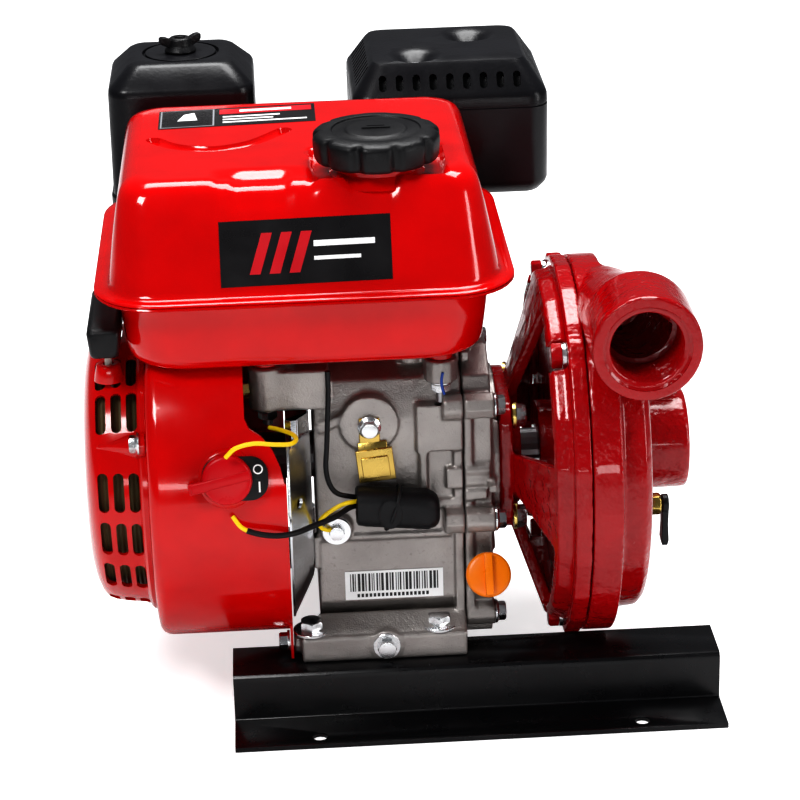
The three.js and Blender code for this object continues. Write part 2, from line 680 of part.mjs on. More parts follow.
function tankUpper() {
  const skin = stacked(TANK, 20, UPPER_LEVELS);
  const hollow = stacked(TANK, 20, hollowed(UPPER_LEVELS, TANK_SEAM_Z - 3, -SHEET));
  const rim = stacked(rimBase, 38, [[TANK_SEAM_Z + GAP / 2, 0], [TANK_SEAM_Z + 1.9, 0]]);
  const neck = barZ(284, TANK_TOP_Z + 5, CAP.x, CAP.y, 24, 20);
  const throat = barZ(280, TANK_TOP_Z + 6, CAP.x, CAP.y, 22, 20);
  return cut(join(cut(join(skin, rim), hollow), neck), throat);
}

function tankLower() {
  const skin = join(stacked(TANK, 30, LOWER_LEVELS), stacked(SUMP, 30, SUMP_LEVELS));
  const hollow = join(
    stacked(TANK, 30, hollowed(LOWER_LEVELS, TANK_SEAM_Z + 3, SHEET)),
    stacked(SUMP, 30, hollowed(SUMP_LEVELS, TANK_SEAM_Z + 3, SHEET)));
  const rim = stacked(rimBase, 38, [[TANK_SEAM_Z - 1.9, 0], [TANK_SEAM_Z - GAP / 2, 0]]);
  const studs = Object.entries(TANK_LUGS).map(([side, lug]) => join(
    barZ(LUG_BOTTOM[side] - 11, SUMP_Z + 1, lug.x, lug.y, 3, 8),
    barZ(LUG_TOP + GAP, SUMP_Z + 1, lug.x, lug.y, 7, 12)));
  return join(cut(join(skin, rim), hollow), ...studs);
}

function fuelCap() {
  const lobes = 8;
  const ring = Array.from({ length: 4 * lobes }, (_, i) => {
    const angle = 2 * Math.PI * i / (4 * lobes);
    const reach = CAP.radius + 1.6 * Math.cos(lobes * angle);
    return [CAP.x + reach * Math.cos(angle), CAP.y + reach * Math.sin(angle)];
  });
  const scaled = (z, factor) => ring.map(([x, y]) =>
    V3(CAP.x + (x - CAP.x) * factor, CAP.y + (y - CAP.y) * factor, z));
  const body = loft([scaled(299, 0.95), scaled(302, 1), scaled(314, 1), scaled(317.5, 0.88)]);
  const socket = barZ(298, 306, CAP.x, CAP.y, 29, 20);
  const plug = barZ(292, 307, CAP.x, CAP.y, 20.5, 20);
  return join(cut(body, socket), plug);
}

add('tank_upper_shell', tankUpper(), 'redGloss');
add('tank_lower_shell', tankLower(), 'redGloss');
add('fuel_cap', fuelCap(), 'blackPlastic');
add('fuel_cap_gasket', cut(
  barZ(TANK_TOP_Z + 5.3, TANK_TOP_Z + 9.7, CAP.x, CAP.y, 27, 20),
  barZ(TANK_TOP_Z + 4, TANK_TOP_Z + 11, CAP.x, CAP.y, 21, 20)), 'rubber');

const PORT = tilted(PORT_AT);
const CARB = { x0: -147, x1: -117.3, y: PORT.y, z: PORT.z };

// ---- air cleaner and carburettor ----
const CLEANER = { x0: -226, x1: -132, y0: 121, y1: 210 };
const CLEANER_TOP = 312;
const CLEANER_FLOOR = 222;
const NUT = { x: (CLEANER.x0 + CLEANER.x1) / 2, y: (CLEANER.y0 + CLEANER.y1) / 2 };

function cleanerCover() {
  const skin = stacked(CLEANER, 14, [[CLEANER_FLOOR, 0], [296, 1], [300, 2], [CLEANER_TOP, 13]]);
  const hollow = stacked(CLEANER, 12,
    [[CLEANER_FLOOR - 1, 2.5], [295, 3.5], [299, 4.5], [CLEANER_TOP - 2.5, 15]]);
  return cut(skin, hollow, barZ(300, 320, NUT.x, NUT.y, 3.6, 16));
}

function cleanerBase() {
  const tray = stacked(CLEANER, 14, [[CLEANER_FLOOR - 12, 6], [CLEANER_FLOOR - GAP, 1]]);
  const dish = stacked(CLEANER, 12, [[CLEANER_FLOOR - 9, 9], [CLEANER_FLOOR + 1, 4]]);
  const corner = V3(-168, 138, CARB.z);
  const top = V3(-168, 138, CLEANER_FLOOR - 4);
  const mouth = V3(CARB.x0 - GAP, CARB.y, CARB.z);
  const stud = barZ(CLEANER_FLOOR - 11, 322, NUT.x, NUT.y, 3, 8);
  const elbow = V3(mouth.x - 7, mouth.y, mouth.z);
  const duct = join(bar(corner.clone().add(V3(0, 0, -14)), top, 15),
    bar(corner, elbow, 12), bar(elbow.clone().add(V3(-4, 0, 0)), mouth, 14));
  const passage = join(
    bar(corner.clone().add(V3(0, 0, -10)), top.clone().add(V3(0, 0, 6)), 11.5, 12),
    bar(corner, elbow, 10, 12), bar(elbow.clone().add(V3(-1, 0, 0)), mouth.clone().add(V3(1, 0, 0)), 10, 12));
  return join(cut(join(tray, duct), dish, passage), stud);
}

function filterElement() {
  const outer = stacked(
    { x0: CLEANER.x0 + 14, x1: CLEANER.x1 - 14, y0: CLEANER.y0 + 14, y1: CLEANER.y1 - 14 }, 12,
    [[CLEANER_FLOOR + 3, 0], [292, 0]]);
  return cut(outer, barZ(CLEANER_FLOOR, 284, NUT.x, NUT.y, 18, 16),
    barZ(280, 300, NUT.x, NUT.y, 4, 12));
}

function wingNut() {
  const wing = (side) => {
    const top = CLEANER_TOP + 11;
    const rings = [-2, 2].map((y) => [
      V3(NUT.x + side * 3, NUT.y + y, CLEANER_TOP + 1.5),
      V3(NUT.x + side * 12, NUT.y + y, CLEANER_TOP + 4),
      V3(NUT.x + side * 15, NUT.y + y, top),
      V3(NUT.x + side * 9, NUT.y + y, top - 1),
      V3(NUT.x + side * 3, NUT.y + y, CLEANER_TOP + 7)]);
    return loft(rings);
  };
  const hub = barZ(CLEANER_TOP + GAP, CLEANER_TOP + 7.5, NUT.x, NUT.y, 8, 20);
  return cut(join(hub, wing(-1), wing(1)), barZ(CLEANER_TOP - 1, 325, NUT.x, NUT.y, 3.3, 12));
}

add('air_cleaner_base', cleanerBase(), 'blackPlastic');
add('air_filter_element', filterElement(), 'paper');
add('air_cleaner_cover', cleanerCover(), 'blackPlastic');
add('wing_nut', wingNut(), 'blackPlastic');

const CHOKE_PIVOT = V3(-147.5, CARB.y + 2, CARB.z - 28);
const COCK_PIVOT = V3(-147.5, CARB.y - 6, CARB.z - 40);

function carburettor() {
  const bowl = join(
    barZ(CARB.z - 46, CARB.z, -132, CARB.y, 14),
    ...[CHOKE_PIVOT, COCK_PIVOT].map((at) => barX(at.x, -136, at.y, at.z, 4, 10)));
  const flange = block(-124, CARB.x1, CARB.y - 22, CARB.y + 22, CARB.z - 15, CARB.z + 15);
  const tube = barX(CARB.x0, -118, CARB.y, CARB.z, 15);
  return cut(join(tube, bowl, flange), barX(-150, -116, CARB.y, CARB.z, 9.5, 12));
}

// A flat arm on a pivot boss, with a grip at its tip that stands out to the left.
function lever(boss, reach, drop) {
  const thickness = 3;
  const pivot = boss.clone().add(V3(-GAP - thickness, 0, 0));
  const tip = pivot.clone().add(V3(0, reach, drop));
  const along = tip.clone().sub(pivot).normalize();
  const across = V3(0, -along.z, along.y).multiplyScalar(4);
  const near = [pivot.clone().add(across), pivot.clone().sub(across),
    tip.clone().sub(across), tip.clone().add(across)];
  const far = near.map((point) => point.clone().add(V3(thickness, 0, 0)));
  return join(loft([near, far]),
    barX(pivot.x, pivot.x + thickness, pivot.y, pivot.z, 6, 12),
    barX(pivot.x - 5, pivot.x + thickness, tip.y, tip.z, 4, 10));
}

add('carburettor', carburettor(), 'castAluminium');
add('intake_insulator', cut(
  block(CARB.x1 + GAP, BARREL_X - HEAD_HALF - GAP, CARB.y - 22, CARB.y + 22,
    CARB.z - 15, CARB.z + 15),
  barX(-120, -110, CARB.y, CARB.z, 10, 12)), 'blackPlastic');
add('choke_lever', lever(CHOKE_PIVOT, 34, -6), 'blackPlastic');
add('fuel_cock_lever', lever(COCK_PIVOT, 32, -16), 'blackPlastic');

// ---- throttle lever on top of the crankcase ----
const THROTTLE = { x: -72, y: 0, z: 180.4 };
add('throttle_lever', join(
  barZ(THROTTLE.z, THROTTLE.z + 3, THROTTLE.x, THROTTLE.y, 9, 20),
  block(THROTTLE.x - 4, THROTTLE.x + 4, THROTTLE.y, THROTTLE.y + 44, THROTTLE.z, THROTTLE.z + 3),
  barZ(THROTTLE.z, THROTTLE.z + 12, THROTTLE.x, THROTTLE.y + 44, 6, 16)), 'blackPlastic');

// ---- muffler and its guard ----
const GUARD = { x0: -74, x1: 48, y0: 121, y1: 232 };
const GUARD_TOP = 308;
const GUARD_BOTTOM = 223;
const TAIL = { x: -30, z: 262 };

function mufflerGuard() {
  const skin = stacked(GUARD, 12,
    [[GUARD_BOTTOM, 6], [GUARD_BOTTOM + 8, 0], [286, 0], [290, 1.5], [GUARD_TOP, 14]]);
  const hollow = stacked(GUARD, 11,
    [[GUARD_BOTTOM - 1, 8], [GUARD_BOTTOM + 8, 1.8], [286, 1.8], [290, 3.3], [GUARD_TOP - 1.8, 15.5]]);
  let body = cut(skin, hollow);
  for (let i = 0; i < 9; i++) {
    const x = -53 + i * 10;
    body = cut(body, bar(V3(x, 112, 284.3), V3(x, 150, 302), 3.2, 4));
  }
  for (const [x, y] of [[-32, 158], [2, 205]]) {
    body = cut(body, barZ(300, 312, x, y, 3.5, 8));
  }
  return cut(body, barY(225, 236, TAIL.x, TAIL.z, 11, 12));
}

function muffler() {
  const base = { x0: -62, x1: 38, y0: 134, y1: 220 };
  const can = stacked(base, 20, [[232, 6], [238, 0], [284, 0], [291, 8]]);
  const room = stacked(base, 18, [[234, 8], [240, 2], [283, 2], [289, 10]]);
  const face = BARREL_X + HEAD_HALF + GAP;
  const start = V3(face + 3, PORT.y, PORT.z);
  const elbow = V3(-4, PORT.y, PORT.z);
  const pipe = join(bar(start, elbow, 12), bar(elbow, V3(-4, 170, 236), 12));
  const flange = block(face, face + 5, PORT.y - 22, PORT.y + 22, PORT.z - 15, PORT.z + 15);
  const tail = barY(218, GUARD.y1, TAIL.x, TAIL.z, 9, 12);
  return cut(join(can, pipe, flange, tail), room,
    barX(face - 1, -8, PORT.y, PORT.z, 9, 12),
    barY(210, GUARD.y1 + 1, TAIL.x, TAIL.z, 7, 12));
}

add('muffler', muffler(), 'steel');
add('muffler_guard', mufflerGuard(), 'blackSheet');

// ---- oil alert unit, brass clip and wiring ----
function alertUnit() {
  const rings = [[-85.5, 2], [-83, 0], [-42, 0], [-37, 4]].map(([x, inset]) => {
    const ring = roundedRing(-73.5 + inset, -53.5 - inset, -11.5 + inset, 11.5 - inset, 7 - inset / 2, 3);
    return ring.map(([y, z]) => V3(x, y, 97 - (x + 60) * 0.1 + z));
  });
  return cut(loft(rings), block(-90, -79, -70, -57, 93, 106));
}

function brassClip() {
  return join(
    block(-81, -71, -54, -52.3, 134, 150),
    block(-84, -62, -56.5, -52.3, 111, 134.5));
}

const WIRE = 2.6;
const SWITCH_FEED = [
  [-133, -66, 152], [-127, -78, 155.5], [-120.5, -92, 158.5], [-118.5, -101, 159],
  [-122, -108, 159.5], [-131, -111, 161], [-142, -112, 162.5], [-152, -111.5, 160],
  [-158, -110, 154],
];
const SWITCH_RETURN = [
  [-156, -105.5, 116], [-151, -108.5, 110], [-143, -109.5, 106.5], [-132, -109.5, 104.5],
  [-121, -105, 103.5], [-110, -94, 102.5], [-98, -82, 101.5], [-90, -70, 101], [-84, -64, 100],
];
const GROUND_LOOP = [
  [-84, -66, 103.5], [-92, -70, 104], [-99, -71, 101], [-105, -70, 96], [-107, -67, 90],
  [-104, -63, 85], [-97, -57, 81],
];
const UPPER_LEAD = [
  [-99, -66, 185], [-99, -66, 172], [-100, -67, 156], [-101, -68, 140], [-102, -68, 126],
  [-100, -67, 115], [-95, -65, 108], [-84, -61, 103.5],
];

add('oil_alert_unit', alertUnit(), 'rubber');
add('brass_clip', brassClip(), 'brass');
add('wire_tank_to_switch', strand(SWITCH_FEED, WIRE), 'yellow');
add('wire_switch_to_alert', strand(SWITCH_RETURN, 3.2), 'rubber');
add('wire_alert_to_ground', strand(GROUND_LOOP, WIRE), 'yellow');
add('wire_alert_feed', strand(UPPER_LEAD, 3), 'rubber');

// ---- adapter bracket ----
function windowSector(middle) {
  const half = 30;
  const shape = new THREE.Shape();
  shape.absarc(0, CRANK_Z, 98, rad(middle - half), rad(middle + half), false);
  shape.absarc(0, CRANK_Z, 35, rad(middle + half), rad(middle - half), true);
  return slab(shape, 8.6, 36.9, 3);
}

function adapterBracket() {
  const left = GAP;
  const plate = roundedRing(-41, 41, CRANK_Z - 41, CRANK_Z + 41, 17, 4);
  let body = join(
    slab(outline(plate), left, 8.5),
    turned([
      [14, 26], [22, 26], [22, 37], [94, 37], [94, 32], [40, 14], [24, 14], [24, 8.3],
      [46, 8.3], [104, 28], [106, 37], [CASING_RADIUS, 37],
      [CASING_RADIUS, CASING_SEAM_X - GAP], [14, CASING_SEAM_X - GAP],
    ], 24));
  body = cut(body, ...[45, 135, 225, 315].map(windowSector), axisBar(-1, 10, 24));
  for (const angle of CASING_BOLT_ANGLES) {
    const [y, z] = casingBoltPlace(angle);
    body = cut(body, barX(20, 37, y, z, 9.6, 10), barX(30, 48, y, z, 4.6, 8));
  }
  const half = PTO_SQUARE / 2;
  for (const y of [-half, half]) {
    for (const z of [CRANK_Z - half, CRANK_Z + half]) {
      body = cut(body, barX(-1, 9, y, z, 4.5, 8));
    }
  }
  return body;
}

function casingBoltPlace(angle) {
  return [
    -CASING_BOLT_RADIUS * Math.cos(rad(angle)),
    CRANK_Z + CASING_BOLT_RADIUS * Math.sin(rad(angle)),
  ];
}

const CASING_BOLT = { washer: 7.4, washerThick: 2, head: 7.6, headThick: 6, shank: 4, length: 22 };

add('adapter_bracket', adapterBracket(), 'redCast');
for (const [i, angle] of CASING_BOLT_ANGLES.entries()) {
  const [y, z] = casingBoltPlace(angle);
  add(`casing_bolt_${i + 1}`, bolt(V3(37 - GAP, y, z), V3(1, 0, 0), CASING_BOLT), 'redCast');
}
add('pump_shaft_seal', cut(axisBar(26.5, 46, 13.7), axisBar(25, 48, 9.9)), 'rubber');

// ---- pump casing, impeller and drain cock ----
function pumpCasing() {
  const shell = turned([
    [0, CASING_SEAM_X], [CASING_RADIUS, CASING_SEAM_X], [CASING_RADIUS, 64.5], [101, 66],
    [99, 80], [95, CASING_FACE_X], [0, CASING_FACE_X],
  ], 28);
  const rings = [
    [28, 62, 192, 13], [6, 63, 194, 22], [-30, 69, 200, 25], [-62, 75, 206, 28],
    [-68, DISCHARGE.x, DISCHARGE.z, DISCHARGE.outer],
    [NOZZLE_END_Y, DISCHARGE.x, DISCHARGE.z, DISCHARGE.outer],
  ].map(([y, x, z, radius]) => circleRing(x, z, radius, 20).map(([a, b]) => V3(a, y, b)));
  const nozzle = loft(rings);
  const cavity = turned([[0, 46], [88, 46], [88, 74], [84, 77], [0, 77]], 24);
  const boreRings = [
    [8, 63, 192, 10], [-20, 68, 199, 15], [-80, DISCHARGE.x, DISCHARGE.z, 19],
  ].map(([y, x, z, radius]) => circleRing(x, z, radius, 12).map(([a, b]) => V3(a, y, b)));
  const passage = loft(boreRings);
  let body = cut(join(shell, nozzle), cavity, passage,
    barY(NOZZLE_END_Y - 1, -76, DISCHARGE.x, DISCHARGE.z, SPIGOT_RADIUS + GAP, 24),
    block(54, 74, -14, 8, 176, 196),
    axisBar(72, CASING_FACE_X + 1, SPIGOT_RADIUS + GAP, 24));
  for (const angle of CASING_BOLT_ANGLES) {
    const [y, z] = casingBoltPlace(angle);
    body = cut(body, barX(46, 60, y, z, 4.6, 8));
  }
  const seamSide = turned([[0, 30], [116, 30], [116, CASING_SEAM_X], [0, CASING_SEAM_X]], 12);
  return cut(body, seamSide, barX(76, 85, COCK.y, COCK.z, 4, 8));
}

function suctionPort() {
  const seat = CASING_FACE_X + GAP;
  return turned([
    [SUCTION.bore, 77.3], [SPIGOT_RADIUS, 77.3], [SPIGOT_RADIUS, seat], [SUCTION.outer, seat],
    [SUCTION.outer, SUCTION.face], [SUCTION.bore, SUCTION.face],
  ], 24);
}

function dischargePort() {
  const { x, z, outer, bore, face } = DISCHARGE;
  const ring = join(
    barY(face, NOZZLE_END_Y - GAP, x, z, outer, 24), barY(face, -77, x, z, SPIGOT_RADIUS, 24));
  return cut(ring, barY(face - 1, -70, x, z, bore, 24));
}

function impeller() {
  let body = join(axisBar(52, 56, 80, 26), axisBar(50.5, 70, 16));
  const blades = 6;
  for (let i = 0; i < blades; i++) {
    const rings = Array.from({ length: 5 }, (_, step) => {
      const reach = 14 + step * 16.2;
      const angle = rad(360 * i / blades + step * 17);
      const along = V3(0, Math.cos(angle), Math.sin(angle));
      const side = V3(0, -along.z, along.y).multiplyScalar(1.8);
      const centre = V3(0, 0, CRANK_Z).addScaledVector(along, reach);
      return [[55, -1], [55, 1], [70, 1], [70, -1]].map(([x, sign]) =>
        centre.clone().addScaledVector(side, sign).setX(x));
    });
    body = join(body, loft(rings));
  }
  return cut(body, axisBar(49, 70.5, 9.8));
}

add('pump_casing', pumpCasing(), 'redCast');
add('suction_port', suctionPort(), 'redCast');
add('discharge_port', dischargePort(), 'redCast');
add('impeller', impeller(), 'castAluminium');
add('drain_cock', join(
  barX(77, 84, COCK.y, COCK.z, 3.6, 12),
  barX(83 + GAP, 92, COCK.y, COCK.z, 6.4, 6),
  barX(91, 95, COCK.y, COCK.z, 3, 12)), 'brass');
add('drain_cock_lever', cut(
  join(
    barX(92 + GAP, 96.5, COCK.y, COCK.z, 5.4, 16),
    block(92 + GAP, 96.5, COCK.y - 4, COCK.y + 4, COCK.z - 26, COCK.z - 2)),
  barX(92, 95.5, COCK.y, COCK.z, 3.3, 12)), 'blackPlastic');

// ---- set the assembly down on the floor, centred ----
const bounds = new THREE.Box3().setFromObject(pump);
pump.position.set(
  -(bounds.min.x + bounds.max.x) / 2,
  -(bounds.min.y + bounds.max.y) / 2,
  -bounds.min.z);

export default pump;
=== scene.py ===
import math

import bmesh
import bpy
from mathutils import Matrix, Vector


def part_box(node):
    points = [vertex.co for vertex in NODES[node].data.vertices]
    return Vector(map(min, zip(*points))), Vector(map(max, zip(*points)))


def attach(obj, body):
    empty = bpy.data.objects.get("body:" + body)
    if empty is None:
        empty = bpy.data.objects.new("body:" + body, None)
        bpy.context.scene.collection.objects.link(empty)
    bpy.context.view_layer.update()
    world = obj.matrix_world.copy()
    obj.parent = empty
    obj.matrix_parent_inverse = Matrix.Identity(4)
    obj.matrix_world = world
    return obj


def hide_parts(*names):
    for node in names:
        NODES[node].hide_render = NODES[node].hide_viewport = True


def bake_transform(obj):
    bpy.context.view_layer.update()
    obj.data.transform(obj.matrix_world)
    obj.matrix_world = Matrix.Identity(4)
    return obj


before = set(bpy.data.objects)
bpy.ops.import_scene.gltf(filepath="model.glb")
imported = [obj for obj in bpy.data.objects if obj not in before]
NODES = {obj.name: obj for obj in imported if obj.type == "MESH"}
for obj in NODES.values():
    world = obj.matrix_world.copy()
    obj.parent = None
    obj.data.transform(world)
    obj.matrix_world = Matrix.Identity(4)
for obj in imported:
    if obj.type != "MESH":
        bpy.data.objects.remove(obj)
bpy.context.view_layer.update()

# ---- the engine's own frame ----
# Pieces are drawn in millimetres: x = 0 on the shaft-end face, y = 0 on the crank axis,
# z = 0 under the engine's feet. The front rail's low corner ties that to the row frame.
MM = 0.001
RAIL_LEFT = -161.5
RAIL_FRONT = -112.4
RAIL_DROP = 32
rail_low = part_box("front_rail")[0]
ORIGIN = rail_low - Vector((RAIL_LEFT, RAIL_FRONT, -RAIL_DROP)) * MM
TO_ROW = Matrix.Translation(ORIGIN) @ Matrix.Scale(MM, 4)
CRANK_Z = 106


def v(x, y, z):
    return Vector((x, y, z))


# ---- camera, light and floor ----
CAMERA_TURN = (2.716, 22.621, 1.553)      # yaw, pitch and roll, in degrees
CAMERA_PLACE = (-124.3, -1456.7, 745.6)
CAMERA_LENS = 119.3


def make_camera():
    yaw, pitch, roll = (math.radians(a) for a in CAMERA_TURN)
    forward = v(math.sin(yaw) * math.cos(pitch), math.cos(yaw) * math.cos(pitch), -math.sin(pitch))
    right = v(math.cos(yaw), -math.sin(yaw), 0)
    down = forward.cross(right)
    rolled_right = right * math.cos(roll) + down * math.sin(roll)
    rolled_down = down * math.cos(roll) - right * math.sin(roll)
    data = bpy.data.cameras.new("camera")
    data.lens = CAMERA_LENS
    data.sensor_width = 36
    data.clip_start = 0.05
    camera = bpy.data.objects.new("camera", data)
    turn = Matrix((rolled_right, -rolled_down, -forward)).transposed()
    camera.matrix_world = Matrix.Translation(TO_ROW @ v(*CAMERA_PLACE)) @ turn.to_4x4()
    bpy.context.scene.collection.objects.link(camera)
    bpy.context.scene.camera = camera


def area_light(name, place, target, size, power):
    data = bpy.data.lights.new(name, "AREA")
    data.shape = "RECTANGLE"
    data.size, data.size_y = size
    data.energy = power
    lamp = bpy.data.objects.new(name, data)
    aim = Vector(target) - Vector(place)
    lamp.rotation_euler = aim.to_track_quat("-Z", "Y").to_euler()
    lamp.location = place
    bpy.context.scene.collection.objects.link(lamp)


def lift_for_camera(tree, socket, base, extra):
    """Raises a value where the camera looks straight at it, so that it doesn't light the pump."""
    seen = tree.nodes.new("ShaderNodeLightPath")
    lift = tree.nodes.new("ShaderNodeMath")
    lift.operation = "MULTIPLY_ADD"
    lift.inputs[1].default_value = extra
    lift.inputs[2].default_value = base
    tree.links.new(seen.outputs["Is Camera Ray"], lift.inputs[0])
    tree.links.new(lift.outputs["Value"], socket)


def make_studio():
    world = bpy.data.worlds.new("studio")
    bpy.context.scene.world = world
    world.use_nodes = True
    background = world.node_tree.nodes["Background"]
    background.inputs["Color"].default_value = (0.93, 0.95, 1.0, 1)
    lift_for_camera(world.node_tree, background.inputs["Strength"], 0.13, 0.9)
    for lamp in (("key_box", (-0.9, -1.1, 1.7), (0, 0, 0.2), (0.6, 0.45), 15),
                 ("top_box", (0.1, 0.5, 1.9), (0, 0, 0.1), (1.3, 0.9), 36),
                 ("side_box", (1.5, -0.9, 0.7), (0, 0, 0.15), (0.25, 1.1), 7),
                 ("front_strip", (-0.1, -1.9, 0.35), (0, 0, 0.15), (1.2, 0.12), 3)):
        area_light(*lamp)
    bpy.context.scene.view_settings.view_transform = "Standard"
    bpy.context.scene.view_settings.look = "High Contrast"

    mesh = bpy.data.meshes.new("floor")
    half = 3.0
    corners = [(-half, -half, 0), (half, -half, 0), (half, half, 0), (-half, half, 0)]
    mesh.from_pydata(corners, [], [(0, 1, 2, 3)])
    floor = bpy.data.objects.new("floor", mesh)
    bpy.context.scene.collection.objects.link(floor)
    paper = material("floor_paper", (0.88, 0.88, 0.885), 0.7, grain=(900, 0.01))
    shader = paper.node_tree.nodes["Principled BSDF"]
    lift_for_camera(paper.node_tree, shader.inputs["Emission Strength"], 0, 0.45)
    shader.inputs["Emission Color"].default_value = (1, 1, 1, 1)
    mesh.materials.append(paper)


# ---- materials ----
def material(name, colour, roughness, metal=0.0, grain=(600, 0.05), blotch=0.0, coat=0.0,
             coarse=None, spread=0.06, dust=None, brushed=None, sheen=0.0, coat_rough=0.06,
             specular=0.5):
    """A procedural finish: fine grain as bump, tone that drifts, and roughness that varies."""
    made = bpy.data.materials.new(name + "_finish")      # the frame's materials have the plain names
    made.use_nodes = True
    tree = made.node_tree
    shader = tree.nodes["Principled BSDF"]
    link = tree.links.new
    for socket, value in (("Metallic", metal), ("Specular IOR Level", specular),
                          ("Coat Weight", coat), ("Coat Roughness", coat_rough),
                          ("Sheen Weight", sheen)):
        shader.inputs[socket].default_value = value
    coords = tree.nodes.new("ShaderNodeTexCoord")
    source = coords.outputs["Object"]

    def noise(scale, detail=4.0, stretch=None):
        node = tree.nodes.new("ShaderNodeTexNoise")
        node.inputs["Scale"].default_value = scale
        node.inputs["Detail"].default_value = detail
        if stretch:
            mapping = tree.nodes.new("ShaderNodeMapping")
            mapping.inputs["Scale"].default_value = stretch
            link(source, mapping.inputs["Vector"])
            link(mapping.outputs["Vector"], node.inputs["Vector"])
        else:
            link(source, node.inputs["Vector"])
        return node.outputs["Fac"]

    def ramp(fac, low, high, start=0.3, end=0.7):
        node = tree.nodes.new("ShaderNodeMapRange")
        for socket, value in (("From Min", start), ("From Max", end),
                              ("To Min", low), ("To Max", high)):
            node.inputs[socket].default_value = value
        link(fac, node.inputs["Value"])
        return node.outputs["Result"]

    def bump(height, strength, distance, below=None):
        node = tree.nodes.new("ShaderNodeBump")
        node.inputs["Strength"].default_value = strength
        node.inputs["Distance"].default_value = distance
        link(height, node.inputs["Height"])
        if below:
            link(below, node.inputs["Normal"])
        return node.outputs["Normal"]

    def shade(factor):
        return tuple(min(1.0, c * factor) for c in colour) + (1.0,)

    tone = tree.nodes.new("ShaderNodeMix")
    tone.data_type = "RGBA"
    tone.inputs["A"].default_value = shade(1 - 0.10 - blotch)
    tone.inputs["B"].default_value = shade(1 + 0.06 + blotch)
    link(ramp(noise(28), 0, 1), tone.inputs["Factor"])
    final = tone.outputs["Result"]
    if dust:
        layer = tree.nodes.new("ShaderNodeMix")
        layer.data_type = "RGBA"
        layer.inputs["B"].default_value = tuple(dust) + (1.0,)
        link(final, layer.inputs["A"])
        link(ramp(noise(420, 6.0), 0, 0.5, 0.60, 0.72), layer.inputs["Factor"])
        final = layer.outputs["Result"]
    link(final, shader.inputs["Base Color"])
    link(ramp(noise(60, 5.0), max(0.02, roughness - spread), min(1, roughness + spread)),
         shader.inputs["Roughness"])

    normal = bump(ramp(noise(grain[0], 3.0), 0, 1, 0.25, 0.75), grain[1], 0.0006)
    if coarse:
        normal = bump(ramp(noise(coarse[0], 2.0), 0, 1, 0.3, 0.7), coarse[1], 0.0015, normal)
    if brushed:
        normal = bump(noise(brushed[0], 2.0, (1, 1, 30)), brushed[1], 0.0003, normal)
    link(normal, shader.inputs["Normal"])
    return made


def make_finishes():
    made = (
        material("red_gloss", (0.60, 0.0006, 0.0012), 0.14, 0, (500, 0.01), 0.01,
                 coat=0.4, coarse=(24, 0.02), coat_rough=0.02, spread=0.04,
                 specular=0.3),
        material("red_cast", (0.36, 0.0006, 0.004), 0.22, 0, (320, 0.35), 0.05,
                 coat=0.6, coarse=(130, 0.5), coat_rough=0.06, specular=0.25),
        material("red_plastic", (0.55, 0.001, 0.008), 0.32, 0, (900, 0.06), 0.03, specular=0.3),
        material("cast_aluminium", (0.36, 0.335, 0.32), 0.40, 0.75, (1100, 0.26),
                 0.08, coarse=(90, 0.16), dust=(0.24, 0.22, 0.21)),
        material("machined_aluminium", (0.62, 0.62, 0.62), 0.30, 1.0,
                 (1200, 0.06), brushed=(160, 0.15)),
        material("black_steel", (0.006, 0.006, 0.007), 0.30, 0, (700, 0.06), 0.1,
                 coat=0.2, coat_rough=0.2, specular=0.3),
        material("guard_black", (0.008, 0.008, 0.010), 0.34, 0, (420, 0.10), 0.1,
                 coat=0.2, coat_rough=0.25, specular=0.3),
        material("black_plastic", (0.008, 0.008, 0.009), 0.40, 0, (1500, 0.18), 0.1,
                 specular=0.35),
        material("rubber", (0.007, 0.007, 0.008), 0.50, 0, (900, 0.15), 0.15, specular=0.35),
        material("zinc_steel", (0.66, 0.68, 0.70), 0.22, 1.0, (700, 0.05), 0.04,
                 brushed=(120, 0.10)),
        material("bolt_zinc", (0.70, 0.71, 0.72), 0.24, 1.0, (900, 0.08), 0.06,
                 brushed=(300, 0.12)),
        material("yellow_zinc", (0.60, 0.46, 0.16), 0.28, 1.0, (900, 0.08), 0.10),
        material("steel", (0.34, 0.34, 0.35), 0.36, 1.0, (700, 0.08), 0.10,
                 brushed=(200, 0.15)),
        material("brass", (0.56, 0.40, 0.12), 0.26, 1.0, (700, 0.06), 0.12, coarse=(60, 0.12)),
        material("orange_plastic", (1.0, 0.24, 0.001), 0.32, 0, (1200, 0.05), 0.03),
        material("yellow_wire", (0.95, 0.66, 0.01), 0.40, 0, (1500, 0.05), 0.04),
        material("filter_paper", (0.48, 0.34, 0.15), 0.9, 0, (800, 0.3), 0.1),
        material("rope", (0.60, 0.58, 0.52), 0.9, 0, (1800, 0.5), 0.1, sheen=0.3),
        material("label_black", (0.010, 0.009, 0.010), 0.30, 0, (1200, 0.02), 0.05),
        material("label_white", (0.95, 0.95, 0.95), 0.35, 0, (1200, 0.02), 0.02),
        material("label_grey", (0.30, 0.31, 0.33), 0.35, 0, (1200, 0.02), 0.05),
        material("label_red", (0.55, 0.01, 0.02), 0.35, 0, (1200, 0.02), 0.05),
        material("screen", (0.16, 0.13, 0.07), 0.5, 0.4, (700, 0.1), 0.1),
        material("ink_blue", (0.01, 0.06, 0.35), 0.5, 0, (1200, 0.05), 0.1),
    )
    return {finish.name.removesuffix("_finish"): finish for finish in made}


FINISH = make_finishes()
make_camera()
make_studio()


